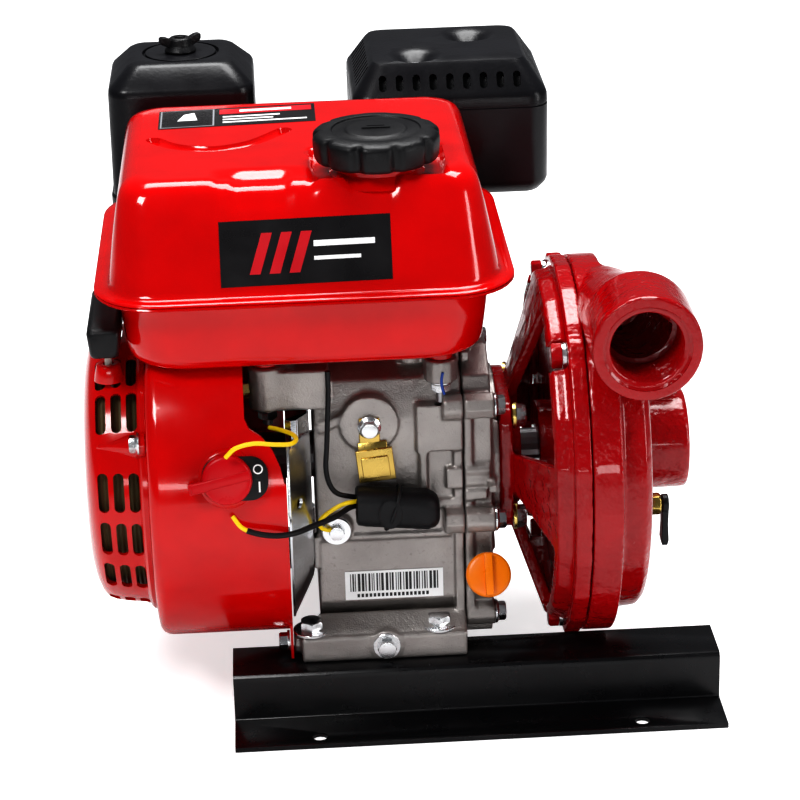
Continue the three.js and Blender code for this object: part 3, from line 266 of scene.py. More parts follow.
# ---- mesh tools: everything below is drawn in millimetres in the engine's frame ----
def ring_about(centre, axis, radius, sides, start=0.0, first=None):
    axis = axis.normalized()
    if first is None:
        first = v(0, 0, 1) if abs(axis.z) < 0.9 else v(1, 0, 0)
    across = (first - axis * first.dot(axis)).normalized()
    other = axis.cross(across)
    turn = 2 * math.pi / sides
    return [centre + across * (radius * math.cos(start + i * turn))
            + other * (radius * math.sin(start + i * turn)) for i in range(sides)]


def loft(bm, rings, cap_first=True, cap_last=True, closed=True):
    """A skin through rings of equal length; a cap is one flat face."""
    made = [[bm.verts.new(p) for p in ring] for ring in rings]
    count = len(made[0])
    last = count if closed else count - 1
    for low, high in zip(made, made[1:]):
        for i in range(last):
            j = (i + 1) % count
            bm.faces.new((low[i], low[j], high[j], high[i]))
    if cap_first:
        bm.faces.new(list(reversed(made[0])))
    if cap_last:
        bm.faces.new(made[-1])
    return made


def rod(bm, a, b, radius, sides=32, end_radius=None, chamfer=0.0):
    axis = b - a
    end_radius = radius if end_radius is None else end_radius
    along = axis.normalized()
    rings = [ring_about(a, axis, radius, sides), ring_about(b, axis, end_radius, sides)]
    if chamfer:
        rings = [
            ring_about(a, axis, radius - chamfer, sides),
            ring_about(a + along * chamfer, axis, radius, sides),
            ring_about(b - along * chamfer, axis, end_radius, sides),
            ring_about(b, axis, end_radius - chamfer, sides),
        ]
    loft(bm, rings)


def lathe(bm, start, axis, profile, sides=64, closed_profile=False):
    """A body of revolution: profile points are (radius, distance along axis)."""
    axis = axis.normalized()
    rings = [ring_about(start + axis * d, axis, max(r, 0.01), sides) for r, d in profile]
    if closed_profile:
        rings.append(rings[0])
        made = [[bm.verts.new(p) for p in ring] for ring in rings[:-1]]
        made.append(made[0])
        for low, high in zip(made, made[1:]):
            for i in range(sides):
                j = (i + 1) % sides
                bm.faces.new((low[i], low[j], high[j], high[i]))
    else:
        loft(bm, rings)


def box(bm, x0, x1, y0, y1, z0, z1):
    low = [v(x0, y0, z0), v(x1, y0, z0), v(x1, y1, z0), v(x0, y1, z0)]
    loft(bm, [low, [p + v(0, 0, z1 - z0) for p in low]])


def slanted_box(bm, centre, axes, sizes):
    """A box about a centre with three given directions and full sizes."""
    a, b, c = (axis.normalized() * (size / 2) for axis, size in zip(axes, sizes))
    low = [centre - a - b - c, centre + a - b - c, centre + a + b - c, centre - a + b - c]
    loft(bm, [low, [p + c * 2 for p in low]])


def rounded_ring(x0, x1, y0, y1, radius, steps=8, straight=1):
    """Points of a rounded rectangle, as (x, y), with extra points along its sides."""
    radius = max(0.5, min(radius, (x1 - x0) / 2 - 0.1, (y1 - y0) / 2 - 0.1))
    corners = [(x1 - radius, y1 - radius, 0), (x0 + radius, y1 - radius, 90),
               (x0 + radius, y0 + radius, 180), (x1 - radius, y0 + radius, 270)]
    points = []
    for cx, cy, start in corners:
        for i in range(steps + 1):
            angle = math.radians(start + 90 * i / steps)
            points.append((cx + radius * math.cos(angle), cy + radius * math.sin(angle)))
        nxt = corners[(corners.index((cx, cy, start)) + 1) % 4]
        angle = math.radians(nxt[2])
        goal = (nxt[0] + radius * math.cos(angle), nxt[1] + radius * math.sin(angle))
        here = points[-1]
        for i in range(1, straight):
            t = i / straight
            points.append((here[0] + (goal[0] - here[0]) * t, here[1] + (goal[1] - here[1]) * t))
    return points


FULL_TURN = [2 * math.pi * k / 24 for k in range(24)]


def spoke(degrees):
    """Directions out from the crank axis and along its circle; 0 faces front, 90 is up."""
    angle = math.radians(degrees)
    return v(0, -math.cos(angle), math.sin(angle)), v(0, math.sin(angle), math.cos(angle))


def catmull(points, per_span=8):
    """A smooth path through given points."""
    spread = [points[0] * 2 - points[1]] + list(points) + [points[-1] * 2 - points[-2]]
    path = []
    for p0, p1, p2, p3 in zip(spread, spread[1:], spread[2:], spread[3:]):
        for i in range(per_span):
            t = i / per_span
            path.append(0.5 * ((2 * p1) + (p2 - p0) * t + (2 * p0 - 5 * p1 + 4 * p2 - p3) * t * t
                               + (3 * p1 - p0 - 3 * p2 + p3) * t ** 3))
    path.append(points[-1].copy())
    return path


def tube(bm, path, radius, sides=16):
    """A round tube along a path, with flat ends; radius may be a function of the path share."""
    size = radius if callable(radius) else (lambda share: radius)
    frame_axis = None
    rings = []
    count = len(path)
    for i, here in enumerate(path):
        tangent = (path[min(i + 1, count - 1)] - path[max(i - 1, 0)]).normalized()
        if frame_axis is None:
            frame_axis = tangent.orthogonal().normalized()
        frame_axis = (frame_axis - tangent * frame_axis.dot(tangent)).normalized()
        other = tangent.cross(frame_axis)
        r = size(i / (count - 1))
        rings.append([here + frame_axis * (r * math.cos(2 * math.pi * k / sides))
                      + other * (r * math.sin(2 * math.pi * k / sides)) for k in range(sides)])
    loft(bm, rings)


def hex_head(bm, seat, direction, across, height):
    """A hexagon head with its chamfered top, from the seat along a direction."""
    along = direction.normalized()
    corner = across / math.sqrt(3)
    sides = 24

    def hexagon(reach, where):
        points = ring_about(where, along, 1.0, sides)
        shaped = []
        for i, p in enumerate(points):
            angle = 2 * math.pi * i / sides
            inside = abs((angle + math.pi / 6) % (math.pi / 3) - math.pi / 6)
            r = min(across / 2 / math.cos(inside), reach)
            shaped.append(where + (p - where) * r)
        return shaped

    loft(bm, [hexagon(corner, seat), hexagon(corner, seat + along * (height * 0.8)),
              hexagon(across / 2 * 1.02, seat + along * (height * 0.96)),
              hexagon(across / 2 * 0.93, seat + along * height)])


def washer(bm, seat, direction, radius, thick, bore=4.0):
    lathe(bm, seat, direction, [(bore, 0), (radius - 0.3, 0), (radius, 0.3), (radius, thick - 0.3),
                                (radius - 0.3, thick), (bore, thick)], 40, True)


def spring_washer(bm, seat, direction, radius, thick, bore=4.2):
    """A split ring: a square section that climbs a little and stops short of closing."""
    along = direction.normalized()
    steps = 40
    gap = math.radians(14)
    rings = []
    for i in range(steps + 1):
        angle = gap / 2 + (2 * math.pi - gap) * i / steps
        lift = along * (thick * 0.35 * i / steps)
        out = ring_about(v(0, 0, 0), along, 1.0, 4, angle)[0]
        rings.append([seat + out * bore + lift, seat + out * radius + lift,
                      seat + out * radius + lift + along * thick * 0.65,
                      seat + out * bore + lift + along * thick * 0.65])
    loft(bm, rings)


def smooth_by_angle(mesh, degrees=32):
    limit = math.radians(degrees)
    bm = bmesh.new()
    bm.from_mesh(mesh)
    for face in bm.faces:
        face.smooth = True
    for edge in bm.edges:
        if len(edge.link_faces) == 2:
            edge.smooth = edge.calc_face_angle(0) < limit
        else:
            edge.smooth = False
    bm.to_mesh(mesh)
    bm.free()


def apply_modifiers(obj):
    depsgraph = bpy.context.evaluated_depsgraph_get()
    mesh = bpy.data.meshes.new_from_object(obj.evaluated_get(depsgraph))
    old = obj.data
    obj.modifiers.clear()
    obj.data = mesh
    bpy.data.meshes.remove(old)


def cut_away(obj, tools):
    """Takes the drawn tool shapes out of a piece."""
    bmesh.ops.recalc_face_normals(tools, faces=tools.faces)
    mesh = bpy.data.meshes.new(obj.name + "_tool")
    tools.to_mesh(mesh)
    tools.free()
    mesh.transform(TO_ROW)
    tool = bpy.data.objects.new(obj.name + "_tool", mesh)
    bpy.context.scene.collection.objects.link(tool)
    difference = obj.modifiers.new("cut", "BOOLEAN")
    difference.operation = "DIFFERENCE"
    difference.solver = "EXACT"
    difference.use_self = True
    difference.object = tool
    apply_modifiers(obj)
    bpy.data.objects.remove(tool)
    bpy.data.meshes.remove(mesh)


def from_node(node):
    """A CAD node's shape, back in the engine's millimetres."""
    bm = bmesh.new()
    mesh = NODES[node].data.copy()
    mesh.transform(TO_ROW.inverted())
    bm.from_mesh(mesh)
    bpy.data.meshes.remove(mesh)
    bmesh.ops.remove_doubles(bm, verts=bm.verts, dist=0.002)
    bmesh.ops.dissolve_limit(bm, angle_limit=math.radians(0.6), verts=bm.verts, edges=bm.edges)
    return bm


def piece(name, bm, finish, body="root", replaces=(), bevel=None, voxel=None, relax=0,
          angle=32, subdivide=0, cuts=None, thickness=None):
    """Turns a drawn shape into a finished piece that rides on its body."""
    bmesh.ops.recalc_face_normals(bm, faces=bm.faces)
    mesh = bpy.data.meshes.new(name)
    bm.to_mesh(mesh)
    bm.free()
    mesh.transform(TO_ROW)
    obj = bpy.data.objects.new(name, mesh)
    bpy.context.scene.collection.objects.link(obj)
    if thickness:
        shell = obj.modifiers.new("shell", "SOLIDIFY")
        shell.thickness = thickness * MM
        shell.offset = -1
    if cuts:
        cut_away(obj, cuts)
    if bevel:
        width, segments = bevel
        edge = obj.modifiers.new("bevel", "BEVEL")
        edge.width = width * MM
        edge.segments = segments
        edge.limit_method = "ANGLE"
        edge.angle_limit = math.radians(30)
    if voxel:
        remesh = obj.modifiers.new("remesh", "REMESH")
        remesh.mode = "VOXEL"
        remesh.voxel_size = voxel * MM
    if relax:
        soften = obj.modifiers.new("relax", "SMOOTH")
        soften.factor = 0.5
        soften.iterations = relax
    if subdivide:
        divide = obj.modifiers.new("divide", "SUBSURF")
        divide.levels = subdivide
        divide.render_levels = subdivide
    if obj.modifiers:
        apply_modifiers(obj)
    obj.data.materials.clear()
    obj.data.materials.append(FINISH[finish])
    smooth_by_angle(obj.data, 180 if voxel or subdivide else angle)
    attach(obj, body)
    if replaces:
        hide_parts(*replaces)
    return obj


# ---- leads: the same routes as the CAD solids ----
SWITCH_FEED = [
    (-133, -66, 152), (-127, -78, 155.5), (-120.5, -92, 158.5), (-118.5, -101, 159),
    (-122, -108, 159.5), (-131, -111, 161), (-142, -112, 162.5), (-152, -111.5, 160),
    (-158, -110, 154),
]
SWITCH_RETURN = [
    (-156, -105.5, 116), (-151, -108.5, 110), (-143, -109.5, 106.5), (-132, -109.5, 104.5),
    (-121, -105, 103.5), (-110, -94, 102.5), (-98, -82, 101.5), (-90, -70, 101), (-84, -64, 100),
]
GROUND_LOOP = [
    (-84, -66, 103.5), (-92, -70, 104), (-99, -71, 101), (-105, -70, 96), (-107, -67, 90),
    (-104, -63, 85), (-97, -57, 81),
]
UPPER_LEAD = [
    (-99, -66, 185), (-99, -66, 172), (-100, -67, 156), (-101, -68, 140), (-102, -68, 126),
    (-100, -67, 115), (-95, -65, 108), (-84, -61, 103.5),
]


def route(points):
    return catmull([Vector(p) for p in points], 10)


def lead(name, path, radius, finish, *nodes):
    bm = bmesh.new()
    tube(bm, path, radius)
    piece(name, bm, finish, replaces=nodes, angle=60)


def make_leads():
    lead("lead_switch_feed", route(SWITCH_FEED), 1.3, "yellow_wire", "wire_tank_to_switch")
    path = route(SWITCH_RETURN)
    sleeve_start = 14
    lead("lead_switch_return", path[:sleeve_start + 2], 1.3, "yellow_wire")
    lead("lead_sleeve", path[sleeve_start:], 1.65, "rubber", "wire_switch_to_alert")
    lead("lead_earth", route(GROUND_LOOP), 1.3, "yellow_wire", "wire_alert_to_ground")
    lead("lead_upper", route(UPPER_LEAD), 1.5, "rubber", "wire_alert_feed")
    bm = bmesh.new()
    lathe(bm, v(-97, -57.5, 81), v(0, -1, 0),
          [(3.2, 0), (8.2, 0), (8.6, 0.5), (8.2, 1.2), (3.2, 1.2)], 40, True)
    hex_head(bm, v(-97, -58.7, 81), v(0, -1, 0), 8, 3.2)
    piece("earth_eyelet", bm, "bolt_zinc")


# ---- fixings ----
def fixing(name, seat, direction, across=12, height=6.5, washer_radius=None, washer_thick=1.6,
           finish="bolt_zinc", flange=0.0, **rest):
    """One hexagon fixing with its washer or flange."""
    bm = bmesh.new()
    at = Vector(seat)
    along = direction.normalized()
    if washer_radius:
        washer(bm, at, along, washer_radius, washer_thick)
        at = at + along * washer_thick
    if flange:
        lathe(bm, at, along, [(1, 0), (flange, 0), (flange, 0.9), (across * 0.56, 2.2), (1, 2.2)], 40)
        at = at + along * 1.2
    hex_head(bm, at, along, across, height)
    return piece(name, bm, finish, **rest)


def make_fixings():
    foot_places = {"front": -57, "rear": 105}
    for row, y in foot_places.items():
        for side, x in (("left", -113.8), ("right", -38.3)):
            bm = bmesh.new()
            washer(bm, v(x, y, 16.2), v(0, 0, 1), 11, 1.8)
            hex_head(bm, v(x, y, 18), v(0, 0, 1), 12.5, 5.6)
            rod(bm, v(x, y, -9), v(x, y, 17), 3.9, 24)
            hex_head(bm, v(x, y, -3.3), v(0, 0, -1), 12.5, 6.4)
            piece(f"foot_fixing_{row}_{side}", bm, "bolt_zinc", replaces=[f"foot_bolt_{row}_{side}"])
    for i, (y, z) in enumerate(((-57, 156), (-57, 84), (-48, 19), (68, 150), (74, 84), (70, 19))):
        fixing(f"cover_bolt_{i + 1}", (-4, y, z), v(1, 0, 0), 10, 5.2, flange=7.2)
    half = 65 / 2
    for i, (y, z) in enumerate(((-half, half), (-half, -half), (half, half), (half, -half))):
        bm = bmesh.new()
        spring_washer(bm, v(8.6, y, CRANK_Z + z), v(1, 0, 0), 7.6, 2.6)
        piece(f"adapter_bolt_washer_{i + 1}", bm, "yellow_zinc")
        fixing(f"adapter_bolt_{i + 1}", (11, y, CRANK_Z + z), v(1, 0, 0), 12, 5.6)
    for i, degrees in enumerate((52, 115, 178, 236, 295)):
        angle = math.radians(degrees)
        y, z = -103 * math.cos(angle), CRANK_Z + 103 * math.sin(angle)
        bm = bmesh.new()
        spring_washer(bm, v(34.2, y, z), v(1, 0, 0), 7.4, 3.2)
        piece(f"casing_spring_washer_{i + 1}", bm, "bolt_zinc")
        fixing(f"casing_fixing_{i + 1}", (34.2, y, z), v(-1, 0, 0), 12.6, 6.2, finish="red_cast",
               replaces=[f"casing_bolt_{i + 1}"])
    fixing("tank_nut_left", (-134, -53, 160), v(0, 0, -1), 11, 5.5, flange=7.5)
    fixing("tank_nut_right", (-34, -53, 172), v(0, 0, -1), 11, 5.5, flange=7.5)
    bm = bmesh.new()
    rod(bm, v(-34, -53, 158), v(-34, -53, 172), 2.9, 20, chamfer=0.6)
    rod(bm, v(-134, -53, 149), v(-134, -53, 160), 2.9, 20, chamfer=0.6)
    piece("tank_studs", bm, "steel")
    fixing("lug_side_bolt", (-144.6, -56, 172), v(-1, -0.25, 0), 9, 5, finish="yellow_zinc")
    fixing("tab_bolt", (-127, -52, 7.8), v(-1, 0, 0), 9, 5, washer_radius=6.4)
    fixing("drain_fixing", (-70, -67.3, 9.5), v(0, -1, 0), 10, 5, washer_radius=8.2,
           replaces=["drain_plug"])
    fixing("clip_bolt", (-76, -55.9, 145), v(0, -1, 0), 9, 4.6, flange=6.8)


# ---- cast pieces: CAD shape with its ribs and pads, softened as a casting is ----
def make_castings():
    bm = from_node("crankcase")
    box(bm, -27.5, -22.3, -54.6, -46, 22, 160)             # joint flange down the front
    box(bm, -27.5, -22.3, -40, 40, 176, 183)
    box(bm, -47.5, -43, -57.5, -46, 96, 128)
    box(bm, -47.5, -22.3, -55.5, -46, 91, 97)
    rod(bm, v(-97, -46, 81), v(-97, -57.2, 81), 9.5)
    rod(bm, v(-70, -60, 9.5), v(-70, -67.8, 9.5), 9.5)
    box(bm, -108, -30, -53.6, -46, 72.5, 75.5)             # frame over the number panel
    box(bm, -110.5, -107.5, -53.6, -46, 55, 75.5)
    rod(bm, v(-76, -40, 146), v(-76, -54.6, 146), 17, 40)  # boss around the lead clamp
    slanted_box(bm, v(-92, -50, 150), (v(1, 0, 0.5), v(0, 1, 0), v(-0.5, 0, 1)), (30, 7, 5))
    box(bm, -32, -22.3, -57, -46, 104, 117)
    slanted_box(bm, v(-66, -56, 19), (v(1, 0, 0), v(0, 1, 0.7), v(0, -0.7, 1)), (88, 14, 6))
    box(bm, -106, -24, -15, 24, 176, 184)                  # breather pad on top
    rod(bm, v(-50, -30, 176), v(-50, -30, 188), 9)
    piece("crankcase_casting", bm, "cast_aluminium", replaces=["crankcase"], voxel=1.15, relax=3)

    bm = from_node("crankcase_cover")
    box(bm, -21.6, -16.5, -54.6, -46, 22, 160)
    box(bm, -21.6, -16.5, -40, 40, 176, 183)
    for angle in range(0, 360, 45):
        out = v(0, math.cos(math.radians(angle)), math.sin(math.radians(angle)))
        side = v(1, 0, 0).cross(out)
        slanted_box(bm, v(-5.5, 0, CRANK_Z) + out * 50, (v(1, 0, 0), out, side), (4.5, 30, 4))
    for y, z in ((-57, 156), (-57, 84), (-48, 19)):
        box(bm, -21.6, -6, y, y + 14, z - 4.5, z + 4.5)
    box(bm, -21.6, -8, -56.5, -46, 96, 102)
    rod(bm, v(-21.6, -52, 114), v(-6, -52, 114), 4.2, 24)
    rod(bm, v(-21.6, -52, 107), v(-6, -52, 107), 4.2, 24)
    piece("cover_casting", bm, "cast_aluminium", replaces=["crankcase_cover"], voxel=1.1, relax=3)

    bm = from_node("adapter_bracket")
    for degrees in (52, 115, 178, 236, 295):
        angle = math.radians(degrees)
        y, z = -102.5 * math.cos(angle), CRANK_Z + 102.5 * math.sin(angle)
        rod(bm, v(37.2, y, z), v(46.6, y, z), 12, 32)
    piece("adapter_casting", bm, "red_cast", replaces=["adapter_bracket"], voxel=1.25, relax=3)
    bm = bmesh.new()
    lathe(bm, v(0, 0, CRANK_Z), v(1, 0, 0), [(10, 26), (26, 26), (26, 37), (10, 37)], 48)
    piece("adapter_hub", bm, "red_cast", bevel=(1.0, 2))

    for node, finish, voxel in (("cylinder_head", "cast_aluminium", 1.2),
                                ("carburettor", "machined_aluminium", 0.9),
                                ("impeller", "machined_aluminium", 1.2)):
        bm = from_node(node)
        body = "rotor" if node == "impeller" else "root"
        piece(node + "_casting", bm, finish, body=body, replaces=[node], voxel=voxel, relax=2)


# ---- pump casing ----
PORTED_CASING = ["pump_casing", "suction_port", "discharge_port"]


def thread(name, start, axis, radius, outer, depth, lead_in, count, length):
    """A threaded liner: crests and roots take turns along a port."""
    bm = bmesh.new()
    turns = [(radius - depth * (i % 2), lead_in + i * 1.15) for i in range(count)]
    lathe(bm, start, axis, [(radius, 0)] + turns
          + [(radius + 0.1, length), (outer, length), (outer, 0)], 64, True)
    piece(name, bm, "red_cast", angle=70)


def make_casing():
    axis = v(1, 0, 0)
    centre = v(0, 0, CRANK_Z)
    bm = bmesh.new()
    lathe(bm, centre, axis, [
        (10, 47.2), (112.4, 47.2), (113, 48), (113, 63.8), (112.4, 64.5), (101.5, 65.4), (100.5, 67),
        (99.5, 79), (96, 82.6), (88, 84), (10, 84)], 128)
    lathe(bm, centre, axis, [(10, 80), (33, 80), (30.5, 86), (30, 113.5), (28.8, 115), (10, 115)], 72)
    rings = []
    nozzle = catmull([v(28, 62, 13), v(6, 63, 22), v(-30, 69, 25), v(-62, 75, 28.5)], 8)
    heights = catmull([v(192, 0, 0), v(194, 0, 0), v(200, 0, 0), v(206, 0, 0)], 8)
    for place, height in zip(nozzle, heights):
        rings.append(ring_about(v(place.y, place.x, height.x), v(0, -1, 0), place.z, 64))
    for y, radius in ((-67, 31), (-109.2, 31), (-110, 30.2)):
        rings.append(ring_about(v(77, y, 207), v(0, -1, 0), radius, 64))
    loft(bm, rings)
    slanted_box(bm, v(76, -20, 176), (v(1, 0, 0), v(0, 1, 0.2), v(0, -0.2, 1)), (5, 70, 34))
    slanted_box(bm, v(98, 0, 150), (v(1, 0, 0), v(0, 1, 0), v(0, 0, 1)), (22, 16, 34))
    rod(bm, v(80, -64, 92), v(85.4, -64, 92), 9)
    tools = bmesh.new()
    lathe(tools, centre, axis, [(21, 60), (21, 111), (24.5, 113), (24.5, 120)], 64)
    lathe(tools, v(77, -75, 207), v(0, -1, 0),
          [(19, 0), (21.5, 1.5), (21.5, 31.5), (25, 34), (25, 40)], 64)
    lathe(tools, v(72, -20, 202), v(0.08, -1, 0.09), [(15, 0), (19, 57)], 48)
    lathe(tools, centre, axis, [(86, 40), (86, 74), (70, 76.5), (10, 76.5)], 64)
    piece("casing_body", bm, "red_cast", replaces=PORTED_CASING, voxel=1.3, relax=2)
    casing = bpy.data.objects["casing_body"]
    cut_away(casing, tools)
    smooth_by_angle(casing.data, 40)
    thread("discharge_thread", v(77, -76, 207), v(0, -1, 0), 21.6, 24, 0.9, 2, 26, 32)
    thread("suction_thread", v(88, 0, CRANK_Z), axis, 21.1, 23.4, 0.8, 1, 20, 24.5)


def make_drain_cock():
    bm = bmesh.new()
    hex_head(bm, v(85.6, -64, 92), v(1, 0, 0), 11.4, 6.4)
    rod(bm, v(77, -64, 92), v(86, -64, 92), 3.5, 24)
    rod(bm, v(91.6, -64, 92), v(95, -64, 92), 3.0, 24)
    piece("drain_cock_body", bm, "brass", replaces=["drain_cock"], bevel=(0.3, 2))
    bm = bmesh.new()
    rod(bm, v(92.4, -64, 92), v(96.5, -64, 92), 5.6, 32, chamfer=0.6)
    rings = []
    for z, half, thick in ((90, 4.6, 2.0), (80, 4.0, 1.8), (70, 4.6, 2.2), (66.5, 3.6, 1.6)):
        rings.append([v(94.4 - thick, -64 - half, z), v(94.4 + thick, -64 - half, z),
                      v(94.4 + thick, -64 + half, z), v(94.4 - thick, -64 + half, z)])
    loft(bm, rings)
    piece("drain_cock_handle", bm, "black_plastic", body="drain_lever",
          replaces=["drain_cock_lever"], bevel=(0.8, 3))


# ---- fuel tank ----
TANK = (-219, 0, -80, 107)
CAP = v(-66, -29, 0)
# each level: z, corner radius, then how far right, left, front and back stand in from the foot
UPPER_WALL = [
    (235.2, 37, -8.3, -8.3, -8.3, -8.3), (236, 38, -9, -9, -9, -9),
    (236.8, 37, -8.3, -8.3, -8.3, -8.3), (237, 34, -5, -5, -5, -5), (237.3, 30, -2, -2, -2, -2),
    (238.6, 28, -0.6, -0.6, -0.4, -0.6), (241, 27, 0, 0, 0.8, 0), (251, 25, 1.8, 1.4, 4.6, 0.2),
    (262, 23, 4.0, 2.9, 9.0, 0.5), (271, 21, 5.8, 4.3, 13.0, 0.8), (279, 19, 7.4, 5.7, 16.8, 1.2),
    (285.5, 17.5, 9.0, 7.0, 20.2, 1.8), (289.5, 16.5, 10.4, 8.4, 22.6, 2.8),
    (292.4, 16, 12.2, 10.2, 25.0, 4.2), (294.6, 15.5, 15.0, 13.0, 28.0, 6.4),
    (295.7, 15, 18.0, 16.0, 31.2, 8.8), (296, 14, 21.0, 19.0, 34.4, 11.4),
]
GROOVE = [v(-193, 30, 0), v(-180, 15, 0), v(-158, 8, 0), v(-136, 17, 0), v(-117, 40, 0)]


def tank_ring(z, right, left, front, back, radius, base=TANK):
    x0, x1, y0, y1 = base
    return [v(x, y, z) for x, y in rounded_ring(
        x0 + left, x1 - right, y0 + front, y1 - back, radius, 9, 52)]


def soft_step(value):
    value = max(0.0, min(1.0, value))
    return value * value * (3 - 2 * value)


def inside(x, low, high, edge):
    return soft_step((x - low) / edge + 0.5) * soft_step((high - x) / edge + 0.5)


def tank_dent(x, y):
    """How far the top is pressed down at a place: cap recess, finger groove, front scallops."""
    depth = 5.0 * inside(x, -103, -29, 3) * inside(y, -50, 0, 4)
    edge = soft_step((-30 - y) / 16)
    depth = max(depth, 2.2 * inside(x, -157, -101, 3) * edge)
    depth = max(depth, 4.4 * inside(x, -148, -116, 3) * edge)
    depth = max(depth, 3.4 * inside(x, -84, -57, 3) * edge)
    return depth


def make_tank():
    bm = bmesh.new()
    rings = [tank_ring(z, *insets, radius) for z, radius, *insets in UPPER_WALL]
    for step in range(1, 30):
        grow = step * 2.1
        rings.append(tank_ring(296, 21 + grow, 19 + grow, 34.4 + grow, 11.4 + grow,
                               max(2.0, 14 - step * 0.6)))
    for ring in rings[9:]:
        for p in ring:
            p.z -= tank_dent(p.x, p.y) * soft_step((p.z - 278) / 12)
    loft(bm, rings)
    tools = bmesh.new()
    groove = [p + v(0, 0, 298.2) for p in catmull(GROOVE, 8)]
    tube(tools, groove, 5.4, 24)
    for tip in (groove[0], groove[-1]):
        rod(tools, tip - v(0, 0, 5.2), tip + v(0, 0, 8), 3.2, 32, end_radius=9)
    rod(tools, v(CAP.x, CAP.y, 262), v(CAP.x, CAP.y, 310), 22, 64)
    piece("tank_upper", bm, "red_gloss", replaces=["tank_upper_shell"], cuts=tools, angle=50)

    bm = bmesh.new()
    lathe(bm, v(CAP.x, CAP.y, 284), v(0, 0, 1), [
        (22.1, 0), (30, 4), (26, 8), (24.2, 10), (24, 16), (23.4, 16.8), (22.4, 16.4), (22.1, 15)],
        64, True)
    piece("filler_neck", bm, "red_gloss")

    bm = bmesh.new()
    rings = [tank_ring(234.8, -8.3, -8.3, -8.3, -8.3, 37), tank_ring(234, -9, -9, -9, -9, 38),
             tank_ring(233.2, -8.3, -8.3, -8.3, -8.3, 37), tank_ring(233.05, -4, -4, -4, -4, 33)]
    rings += [tank_ring(z, right, left, front, back, 30) for z, right, left, front, back in (
        (232.9, 3.5, 3.0, 0.8, 8.5), (231.5, 5, 4, 2, 10), (220, 7, 5.6, 2.4, 10.4),
        (212, 8.4, 6.8, 2.8, 10.8), (207.5, 9.2, 7.6, 3.3, 11.4), (204.5, 10.2, 8.6, 4.2, 12.2),
        (202.3, 12, 10.4, 6, 13.6), (200.7, 14.6, 13.2, 8.8, 16.4), (200, 18.5, 17, 13, 21))]
    inner = [(200, 18.5 + k * 6, 17 + k * 6, 13 + k * 6, 21 + k * 6) for k in range(1, 13)]
    rings += [tank_ring(z, right, left, front, back, max(3, 30 - 3 * k))
              for k, (z, right, left, front, back) in enumerate(inner)]
    for ring in rings:
        for p in ring:                          # the sump: deeper in front of the cylinder
            p.z -= 8.5 * soft_step((232 - p.z) / 32) * soft_step((34 - p.y) / 8)
    loft(bm, rings)
    for x, y in ((-134, -53), (-34, -53)):
        lathe(bm, v(x, y, 186.3), v(0, 0, 1), [(2, 0), (7, 0), (7, 7), (2, 7)], 40)
    piece("tank_lower", bm, "red_gloss", replaces=["tank_lower_shell"], angle=50)


def wall_inset(z):
    """How far the front wall stands in at a height."""
    for lower, upper in zip(UPPER_WALL, UPPER_WALL[1:]):
        if lower[0] <= z <= upper[0]:
            share = (z - lower[0]) / (upper[0] - lower[0])
            return lower[4] + (upper[4] - lower[4]) * share
    return 0.0


def front_patch(name, x0, x1, z0, z1, finish, lift=0.25, slant=0.0, rows=8, tilt=0.0):
    """A thin film that lies on the tank's front wall; slant leans its sides, tilt turns it."""
    bm = bmesh.new()
    rings = []
    for i in range(rows + 1):
        z = z0 + (z1 - z0) * i / rows
        shift = slant * (z - z0)
        row = []
        for j in range(7):
            x = x0 + (x1 - x0) * j / 6 + shift
            height = z + tilt * (x + 108)
            row.append(v(x, TANK[2] + wall_inset(height) - lift, height))
        rings.append(row)
    loft(bm, rings, False, False, closed=False)
    return piece(name, bm, finish, thickness=0.2)


def flat_patch(name, corners, finish, lift=(0, 0, 0.15)):
    """A thin plate on a flat face, standing off it by its thickness."""
    bm = bmesh.new()
    loft(bm, [[v(*p) for p in corners], [v(*p) + v(*lift) for p in corners]])
    return piece(name, bm, finish)


def make_labels():
    front_patch("front_label", -156, -61, 243, 276.5, "label_black", tilt=0.01)
    for i in range(3):
        x = -140 + i * 11
        front_patch(f"front_label_stripe_{i + 1}", x, x + 6, 249, 270, "label_red", 0.45, 0.35,
                    tilt=0.01)
    front_patch("front_label_line_1", -104, -70, 262, 265, "label_white", 0.45, tilt=0.01)
    front_patch("front_label_line_2", -104, -78, 255, 257, "label_white", 0.45, tilt=0.01)

    def top_patch(name, x0, x1, y0, y1, finish, layer=0):
        lean = 0.06
        z = 296.02 + 0.15 * layer
        flat_patch(name, [(x0, y0 + lean * (x0 + 190), z), (x1, y0 + lean * (x1 + 190), z),
                          (x1, y1 + lean * (x1 + 190), z), (x0, y1 + lean * (x0 + 190), z)], finish)

    top_patch("top_label", -191, -98, 50, 87, "label_black")
    top_patch("top_label_edge", -190, -158, 51.5, 85.5, "label_grey", 1)
    top_patch("top_label_panel", -189, -159, 52.5, 84.5, "label_black", 2)
    top_patch("top_label_bar", -155, -100, 74, 84, "label_red", 1)
    top_patch("top_label_title", -143, -112, 77, 81, "label_white", 2)
    for i, width in enumerate((34, 30, 50)):
        top_patch(f"top_label_row_{i + 1}", -153, -153 + width, 67 - i * 5.5, 69.4 - i * 5.5,
                  "label_white", 1)
    flat_patch("top_label_mark", [(-180, 64, 296.47), (-168, 64.8, 296.47), (-170, 80, 296.47),
                                  (-176, 77, 296.47)], "label_white")


